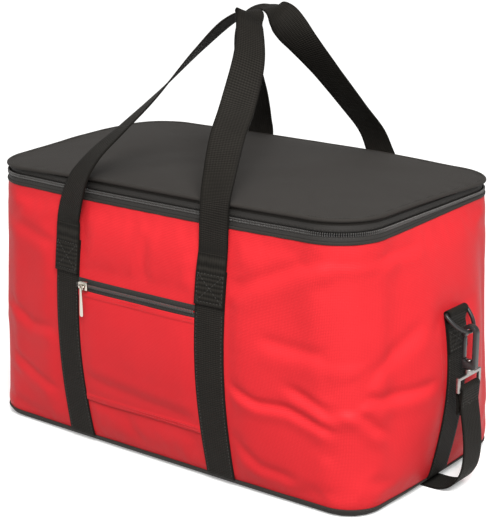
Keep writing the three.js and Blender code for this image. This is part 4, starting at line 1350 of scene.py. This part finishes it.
class MakeLid(bpy.types.Operator):
    """Make the lid: soft crowned top, side wall, piping and the cloth hinge."""

    bl_idname = "foodbag.lid"
    bl_label = "Lid"

    def execute(self, context):
        sizes = context.scene.food_bag_sizes

        def top(ring, a):
            edge = wrap_point(a, MOUTH_Z, LID_EDGE_OFFSET)
            p = Vector((edge.x * ring, edge.y * ring, 0))
            slack = cloth_noise.noise(p * 8) * 0.0018
            slack += cloth_noise.noise(p * 19 + Vector((5, 1, 2))) * 0.0008
            pucker = math.sin(a / LID_PUCKER_RUN) * LID_PUCKER * ring**24
            rise = LID_CROWN * (1 - ring**4) - lid_sag(p)
            return Vector((p.x, p.y, LID_EDGE_Z + rise + slack * (1 - ring**8) + pucker))

        panel = lay_panel("lid_top", 150, 100, top)
        thicken(panel, LID_THICKNESS)
        dress(panel, "lid", "black_polyester", "black_cloth", "lid_panel")

        def board(ring, a):
            edge = wrap_point(a, MOUTH_Z, LID_BOARD_OFFSET)
            p = Vector((edge.x * ring, edge.y * ring, LID_BOARD_Z))
            return p - Vector((0, 0, lid_sag(p) * 0.62))

        foam = lay_panel("lid_foam_board", 40, 30, board)
        thicken(foam, LID_BOARD_THICKNESS)
        dress(foam, "lid", "polyethylene_foam", "foam", "lid_foam")
        wall = lay_trim("lid_wall", rounded_box(*LID_WALL, 2))
        dress(wall, "lid", "black_polyester", "black_cloth", "lid_gusset")
        piping = lay_trim("lid_piping", rounded_box(*LID_PIPING), wobble=PIPING_WOBBLE)
        dress(piping, "lid", "black_polyester", "black_cloth", "lid_binding")
        row = [(p, Vector((0, 0, 1))) for p, _ in wrap_line(*LID_STITCHES)]
        dress(sew("lid_stitches", [row], sizes), "lid", "black_thread", "black_cloth")
        reach = HALF_LONG - 0.006
        hinge = lay_trim(
            "hinge_cloth", rounded_box(*HINGE_CLOTH, 2),
            span=(BACK_MID - reach, BACK_MID + reach), columns=120,
        )
        dress(hinge, None, "black_polyester", "black_cloth", "hinge_lower_cloth", "hinge_upper_cloth")
        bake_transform(hinge)
        return {"FINISHED"}


class MakeMainZip(bpy.types.Operator):
    """Sew the two halves of the main zip to the mouth and the lid."""

    bl_idname = "foodbag.main_zip"
    bl_label = "Main zip"

    def execute(self, context):
        sizes = context.scene.food_bag_sizes
        reach = HALF_LONG + MAIN_ZIP_PAST_CORNER
        span = (BACK_MID + reach - WRAP, BACK_MID - reach)
        for name, body, low, high, face, tooth_z, lean in MAIN_ZIP_HALVES:
            section = rounded_box(face - ZIP_TAPE_THICKNESS, face, low, high, ZIP_TAPE_ROUND, 2)
            tape = lay_trim(f"{name}_zip_tape", section, span=span)
            dress(tape, body, "polyester_twill", "zip_tape", f"main_zip_{name}_tape")
            teeth = self.teeth(f"{name}_zip_teeth", tooth_z, lean, span, sizes)
            dress(teeth, body, "nylon_coil", "zip_coil", f"main_zip_{name}_coil")
            row = wrap_line((low + high) / 2 + lean * 0.0018, face + 0.0001, span)
            dress(sew(f"{name}_zip_stitches", [row], sizes), body, "black_thread", "zip_tape")
        return {"FINISHED"}

    def teeth(self, name, z, lean, span, sizes):
        """Row of coil loops, each leaning to its neighbour."""
        count = int((span[1] - span[0]) / sizes.tooth_pitch)
        places = []
        for i in range(count):
            a = mix(span[0], span[1], (i + 0.5) / count)
            p = wrap_point(a, z, TOOTH_OFFSET)
            along = wrap_point(a + 0.001, z, TOOTH_OFFSET) - p + Vector((0, 0, lean * TOOTH_LEAN))
            out = wrap_point(a, z, 0.01) - p
            places.append(placing(p + Vector((0, 0, soft_rise(p, z))), along, out))
        return repeat_shape(name, zip_tooth(MAIN_TOOTH, sizes), places)


class MakePocket(bpy.types.Operator):
    """Sew on the front pocket with its hems and short zip."""

    bl_idname = "foodbag.pocket"
    bl_label = "Pocket"

    def execute(self, context):
        sizes = context.scene.food_bag_sizes

        def place(s, t):
            u = FRONT_SHIFT + mix(-POCKET_HALF_W, POCKET_HALF_W, s)
            z = mix(POCKET_LOW_Z, POCKET_TOP_Z, t)
            p = wall_point(0, u, z)
            held = ramp(s, 0, 0.12) * (1 - ramp(s, 0.88, 1))
            slack = cloth_noise.noise(p * 12) * 0.0012 + cloth_noise.noise(p * 30) * 0.0005
            loose = POCKET_LOOSE * math.sin(math.pi * t) * held
            hem = POCKET_HEM * (1 - ramp(z, 0.0668, 0.0682) + ramp(z, 0.1886, 0.1900))
            return wall_point(0, u, z, POCKET_LIFT + loose + hem + (slack + pocket_crease(u, z)) * held)

        cloth = lay_grid("pocket_cloth", 96, 110, place, (2 * POCKET_HALF_W, POCKET_TOP_Z - POCKET_LOW_Z))
        thicken(cloth, POCKET_THICKNESS, edge=0.0003)
        dress(cloth, "root", "red_polyester", "red_cloth", "pocket_panel")
        half = POCKET_HALF_W - POCKET_STITCH_INSET
        ends = (FRONT_SHIFT - half, FRONT_SHIFT + half)
        rows = [wall_line(0, [(u, z) for u in ends], POCKET_STITCH_LIFT) for z in POCKET_STITCH_Z]
        dress(sew("pocket_stitches", rows, sizes), "root", "red_thread", "red_cloth")
        self.zip(sizes)
        return {"FINISHED"}

    def zip(self, sizes):
        """Short zip along the pocket's top."""
        for name, low, high in POCKET_TAPES:
            def place(s, t, low=low, high=high):
                u, z = FRONT_SHIFT + mix(-POCKET_HALF_W, POCKET_HALF_W, s), mix(low, high, t)
                return wall_point(0, u, z, POCKET_TAPE_LIFT + POCKET_TAPE_BOW * math.sin(math.pi * t))

            tape = lay_grid(f"pocket_tape_{name}", 60, 8, place, (2 * POCKET_HALF_W, high - low))
            thicken(tape, POCKET_TAPE_THICKNESS, edge=0.0002)
            dress(tape, "root", "polyester_twill", "zip_tape", "pocket_zip_tape")
        count = int(2 * (POCKET_HALF_W - 0.0006) / sizes.tooth_pitch)
        along, out = Vector((1, 0, 0.08)), Vector((0, -1, 0))
        places = []
        for i in range(count):
            x = FRONT_SHIFT + mix(-POCKET_HALF_W, POCKET_HALF_W, (i + 0.5) / count)
            places.append(placing(Vector((x, POCKET_ZIP_Y - 0.0005, POCKET_ZIP_Z)), along, out))
        teeth = repeat_shape("pocket_zip_teeth", zip_tooth(POCKET_TOOTH, sizes), places)
        dress(teeth, "root", "nylon_coil", "zip_coil", "pocket_zip_coil")
        half = POCKET_HALF_W - POCKET_TAPE_STITCH_INSET
        ends = (FRONT_SHIFT - half, FRONT_SHIFT + half)
        rows = [
            wall_line(0, [(u, z) for u in ends], POCKET_TAPE_STITCH_LIFT) for z in POCKET_TAPE_STITCH_Z
        ]
        dress(sew("pocket_zip_stitches", rows, sizes), "root", "black_thread", "zip_tape")


class MakeWebbing(bpy.types.Operator):
    """Sew webbing strips on the long sides and the ends, with the loops that hold the D-rings."""

    bl_idname = "foodbag.webbing"
    bl_label = "Webbing"

    def execute(self, context):
        sizes = context.scene.food_bag_sizes
        lift = WEBBING_GAP + sizes.webbing_thickness / 2
        face = WEBBING_GAP + sizes.webbing_thickness
        edge = sizes.webbing_width / 2 - STITCH_INSET
        rows = []
        strips = (
            ("front_left", 0, FRONT_SHIFT - HANDLE_X), ("front_right", 0, FRONT_SHIFT + HANDLE_X),
            ("back_right", 2, -HANDLE_X), ("back_left", 2, HANDLE_X),
        )
        for name, side, middle in strips:
            strip = lay_strip(f"{name}_strip", side, middle, STRIP_LOW_Z, TACK_Z + 0.0015, sizes, lift)
            dress(strip, "root", "polypropylene_webbing", "webbing", f"{name}_webbing")
            for u in (middle - edge, middle + edge):
                rows.append(wall_line(side, [(u, STRIP_SEAM_LOW_Z), (u, STRIP_SEAM_HIGH_Z)], face))
        for name, side, hand in (("right", 1, 1), ("left", 3, -1)):
            strip = lay_strip(f"{name}_side_strip", side, 0.0, STRIP_LOW_Z, SIDE_STRIP_HIGH_Z, sizes, lift)
            dress(strip, "root", "polypropylene_webbing", "webbing", f"{name}_side_webbing")
            for u in (-edge, edge):
                rows.append(wall_line(side, [(u, STRIP_SEAM_LOW_Z), (u, SIDE_SEAM_HIGH_Z)], face))
            self.ring_loop(name, hand, sizes)
            rows += box_tack(side, 0.0, *SIDE_TACK_Z, edge, face + sizes.webbing_thickness + THREAD_PROUD)
        dress(sew("webbing_stitches", rows, sizes), "root", "black_thread", "webbing")
        return {"FINISHED"}

    def ring_loop(self, name, hand, sizes):
        """Webbing that turns over the D-ring's bar and is sewn down on the strip."""
        keys = [(wall_point(1, 0, z, RING_LOOP_UNDER).x, z) for z in (0.1960, 0.1995)]
        for angle in (180, 140, 100, 60, 20, -15):
            turn = math.radians(angle)
            round_bar = Vector((math.cos(turn), 0, math.sin(turn))) * RING_LOOP_R
            keys.append((RING_BAR.x + round_bar.x, RING_BAR.z + round_bar.z))
        keys += [(wall_point(1, 0, z, RING_LOOP_OVER).x, z) for z in (0.192, 0.184, 0.172, 0.160)]
        run = smooth_route([(hand * x, 0, z) for x, z in keys], 90)
        loop = lay_band(f"{name}_ring_loop", run, [Vector((0, hand, 0))] * len(run), sizes)
        dress(loop, "root", "polypropylene_webbing", "webbing", f"{name}_ring_tab")


class MakeHandles(bpy.types.Operator):
    """Raise the two carry handles from their tacks."""

    bl_idname = "foodbag.handles"
    bl_label = "Handles"

    def execute(self, context):
        sizes = context.scene.food_bag_sizes
        rows = []
        for name, side, out in (("front", 0, -1), ("back", 2, 1)):
            route, widths = self.route(side, out, sizes)
            handle = lay_band(f"{name}_carry_handle", route, widths, sizes)
            dress(handle, None, "polypropylene_webbing", "webbing", f"{name}_handle")
            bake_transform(handle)
            edge = sizes.webbing_width / 2 - STITCH_INSET
            lift = WEBBING_GAP + 2 * (sizes.webbing_thickness + THREAD_PROUD)
            shift = FRONT_SHIFT if side == 0 else 0.0
            for middle in (shift - HANDLE_X, shift + HANDLE_X):
                rows += box_tack(side, middle, *HANDLE_TACK_Z, edge, lift)
        dress(sew("handle_tack_stitches", rows, sizes), "root", "black_thread", "webbing")
        return {"FINISHED"}

    def route(self, side, out, sizes):
        """Line of a handle from tack to tack, with its crosswise directions."""
        edge_y = out * abs(wall_point(0, HANDLE_X, MOUTH_Z, HANDLE_EDGE_OFFSET).y)
        foot_y, top_y = out * FOOT_Y[side], out * HANDLE_TOP_Y
        shift = FRONT_SHIFT if side == 0 else 0.0

        def leg(hand):
            foot_x = hand * HANDLE_X + shift
            edge_x = hand * (HANDLE_X - DRAW_IN[side]) + shift * HANDLE_SHIFT_AT_LID
            line = [Vector((foot_x, mix(foot_y, edge_y, s), mix(PIVOT_Z, MOUTH_Z, s))) for s in FOOT_SHARES]
            for i, (x, y, z, _) in enumerate(ARCH[side]):
                line.append(Vector((
                    mix(edge_x, HANDLE_TOP_X, x), mix(edge_y, top_y, y), mix(LID_EDGE_Z, HANDLE_TOP_Z, z)
                )) + Vector(LEG_SLACK[side, hand][i]))
            return line

        keys = leg(1) + leg(-1)[::-1][1:]
        rise = [0] * len(FOOT_SHARES) + [row[3] for row in ARCH[side]]
        twist = [EDGE_TWIST[side] * share for share in FOOT_SHARES]
        twist += [EDGE_TWIST[side] * (1 - ramp(row[0], 0.07, 0.5)) for row in ARCH[side]]
        turns = rise + [180 - turn - more for turn, more in zip(reversed(rise), reversed(twist))][1:]
        steps = 200
        line = smooth_route(keys, steps)
        free, across = [], []
        for i, p in enumerate(line):
            if p.z < FREE_Z:
                continue
            at = i / steps * (len(turns) - 1)
            k = min(int(at), len(turns) - 2)
            turn = math.radians(mix(turns[k], turns[k + 1], at - k))
            free.append(p)
            across.append(Vector((math.cos(turn), math.sin(turn), 0)))
        lift = WEBBING_GAP + 1.5 * sizes.webbing_thickness + THREAD_PROUD
        half = sizes.webbing_width / 2
        ends = []
        for hand in (1, -1):
            u = (hand * HANDLE_X + shift) * (1 if side == 0 else -1)
            low = [wall_point(side, u, z, lift) for z in SEWN_Z]
            wide = wall_point(side, u + half, 0.235, lift) - wall_point(side, u - half, 0.235, lift)
            ends.append((low, wide.normalized()))
        sign = 1 if across[0].dot(ends[0][1]) > 0 else -1
        last = 1 if across[-1].dot(ends[1][1]) > 0 else -1
        (low_r, wide_r), (low_l, wide_l) = ends
        points = low_r + free + low_l[::-1]
        directions = [wide_r * sign] * len(low_r) + across + [wide_l * last] * len(low_l)
        count = 300
        fine = smooth_route(points, count)
        widths = []
        for i in range(count + 1):
            at = i / count * (len(points) - 1)
            k = min(int(at), len(points) - 2)
            widths.append(directions[k].lerp(directions[k + 1], at - k))
        return fine, widths


class MakeClips(bpy.types.Operator):
    """Make the D-rings, snap hooks, gates and strap rings at both ends."""

    bl_idname = "foodbag.clips"
    bl_label = "Clips"

    def execute(self, context):
        for name, hand in (("right", 1), ("left", -1)):
            down = Vector((hand * math.sin(RING_TILT), 0, -math.cos(RING_TILT)))
            across = Vector((0, 1, 0))
            bar = Vector((hand * RING_BAR.x, 0, RING_BAR.z))
            path = []
            for i in range(41):
                turn = math.pi * i / 40
                path.append(bar + across * RING_HALF_W * math.cos(turn) + down * RING_DEPTH * math.sin(turn))
            for i in range(1, 20):
                path.append(bar + across * RING_HALF_W * (-1 + i / 10))
            ring = lay_tube(f"{name}_ring_wire", path, across.cross(down).normalized(), RING_WIRE_R)
            dress(ring, f"{name}_clip", "acetal", "black_plastic", f"{name}_d_ring")
            for piece, node, body, material, slot, edge, segments in CLIP_PIECES:
                solid = f"{name}_{node}"
                copy = dress_copy(f"{name}_{piece}", solid, edge, segments)
                dress(copy, f"{name}_{body}", material, slot, solid)
        return {"FINISHED"}


class MakeZipSliders(bpy.types.Operator):
    """Fit both zips with their sliders and pulls."""

    bl_idname = "foodbag.sliders"
    bl_label = "Zip sliders"

    def execute(self, context):
        for name in ("main", "pocket"):
            for piece, body, edge in (("slider_body", "slider", 0.00035), ("pull_tab", "pull", 0.0003)):
                solid = f"{name}_zip_{body}"
                copy = dress_copy(f"{name}_{piece}", solid, edge)
                dress(copy, f"{name}_{body}", "nickel_plated_zinc", "bright_metal", solid)
        return {"FINISHED"}


class DressSolids(bpy.types.Operator):
    """Give the board and foam solids, which stay as they are, their materials."""

    bl_idname = "foodbag.solids"
    bl_label = "Board and foam"

    def execute(self, context):
        kept = {
            "black_polyester": ("base_panel",),
            "polyethylene_foam": ("front_foam", "back_foam", "left_foam", "right_foam", "base_foam"),
        }
        for material, nodes in kept.items():
            for node in nodes:
                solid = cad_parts[node]
                solid.data.materials.clear()
                solid.data.materials.append(bpy.data.materials[material])
        return {"FINISHED"}


class MakeStage(bpy.types.Operator):
    """Set the pale floor, the soft lights and the picture's tone."""

    bl_idname = "foodbag.stage"
    bl_label = "Stage"

    def execute(self, context):
        scene = context.scene
        # Seamless white paper, lit a little from within as by lamps behind it
        paper = {"Roughness": 0.85, "Emission Color": (1, 1, 1, 1), "Emission Strength": PAPER_GLOW}
        grained_material("studio_floor", scene.food_bag_colours.floor, 0.4, 0.01, 0.0001, paper)
        start_clean()
        side = scene.food_bag_sizes.floor_size
        bpy.ops.mesh.primitive_grid_add(x_subdivisions=8, y_subdivisions=8, size=side)
        floor = context.object
        floor.name = "studio_floor"
        floor.visible_diffuse = False
        floor.data.materials.append(bpy.data.materials["studio_floor"])
        start_clean()
        bpy.ops.object.light_add(type="AREA", location=KEY_LIGHT)
        key = context.object
        key.name = "key_light"
        key.data.size = KEY_SIZE
        key.data.energy = KEY_ENERGY
        key.visible_camera = False
        key.rotation_euler = (KEY_LIGHT - CAMERA_TARGET).to_track_quat("Z", "Y").to_euler()
        start_clean()
        bpy.ops.object.light_add(type="SUN", location=SKY_LIGHT)
        sky = context.object
        sky.name = "sky_light"
        sky.data.angle = SKY_ANGLE
        sky.data.energy = SKY_ENERGY
        sky.rotation_euler = SKY_LIGHT.to_track_quat("Z", "Y").to_euler()
        world = bpy.data.worlds.new("studio_air")
        world.use_nodes = True
        tree = world.node_tree
        air = tree.nodes["Background"]
        air.inputs["Color"].default_value = (1.0, 0.99, 0.98, 1)
        # The air fills shadows softly, but is seen as white as the floor that it meets
        seen = add_node(tree, "ShaderNodeLightPath")
        strength = add_node(
            tree, "ShaderNodeMath", {0: seen.outputs["Is Camera Ray"], 1: AIR_SEEN, 2: AIR_FILL},
            operation="MULTIPLY_ADD",
        )
        tree.links.new(strength.outputs["Value"], air.inputs["Strength"])
        scene.world = world
        scene.view_settings.view_transform = "Standard"
        return {"FINISHED"}


class FoodBagPanel(bpy.types.Panel):
    """Lists the steps that build the bag."""

    bl_idname = "VIEW3D_PT_food_bag"
    bl_label = "Food bag"
    bl_space_type = "VIEW_3D"
    bl_region_type = "UI"
    bl_category = "Food bag"

    def draw(self, context):
        for step in STEPS:
            self.layout.operator(step.bl_idname)
        for group in (context.scene.food_bag_sizes, context.scene.food_bag_colours):
            for key in group.__annotations__:
                self.layout.prop(group, key)


STEPS = (
    MakeCamera, MakeMaterials, MakeShoulderStrap, MakeWalls, MakeBindings, MakeLining, MakeLid, MakeMainZip,
    MakePocket, MakeWebbing, MakeHandles, MakeClips, MakeZipSliders, DressSolids, MakeStage,
)
CLASSES = (FoodBagSizes, FoodBagColours, *STEPS, FoodBagPanel)


def register():
    for cls in CLASSES:
        bpy.utils.register_class(cls)
    bpy.types.Scene.food_bag_sizes = PointerProperty(type=FoodBagSizes)
    bpy.types.Scene.food_bag_colours = PointerProperty(type=FoodBagColours)


def unregister():
    del bpy.types.Scene.food_bag_colours
    del bpy.types.Scene.food_bag_sizes
    for cls in reversed(CLASSES):
        bpy.utils.unregister_class(cls)


def main():
    register()
    bpy.ops.foodbag.camera()
    bpy.ops.foodbag.materials()
    bpy.ops.foodbag.strap()
    bpy.ops.foodbag.walls()
    bpy.ops.foodbag.bindings()
    bpy.ops.foodbag.lining()
    bpy.ops.foodbag.lid()
    bpy.ops.foodbag.main_zip()
    bpy.ops.foodbag.pocket()
    bpy.ops.foodbag.webbing()
    bpy.ops.foodbag.handles()
    bpy.ops.foodbag.clips()
    bpy.ops.foodbag.sliders()
    bpy.ops.foodbag.solids()
    bpy.ops.foodbag.stage()


if __name__ == "__main__":
    main()
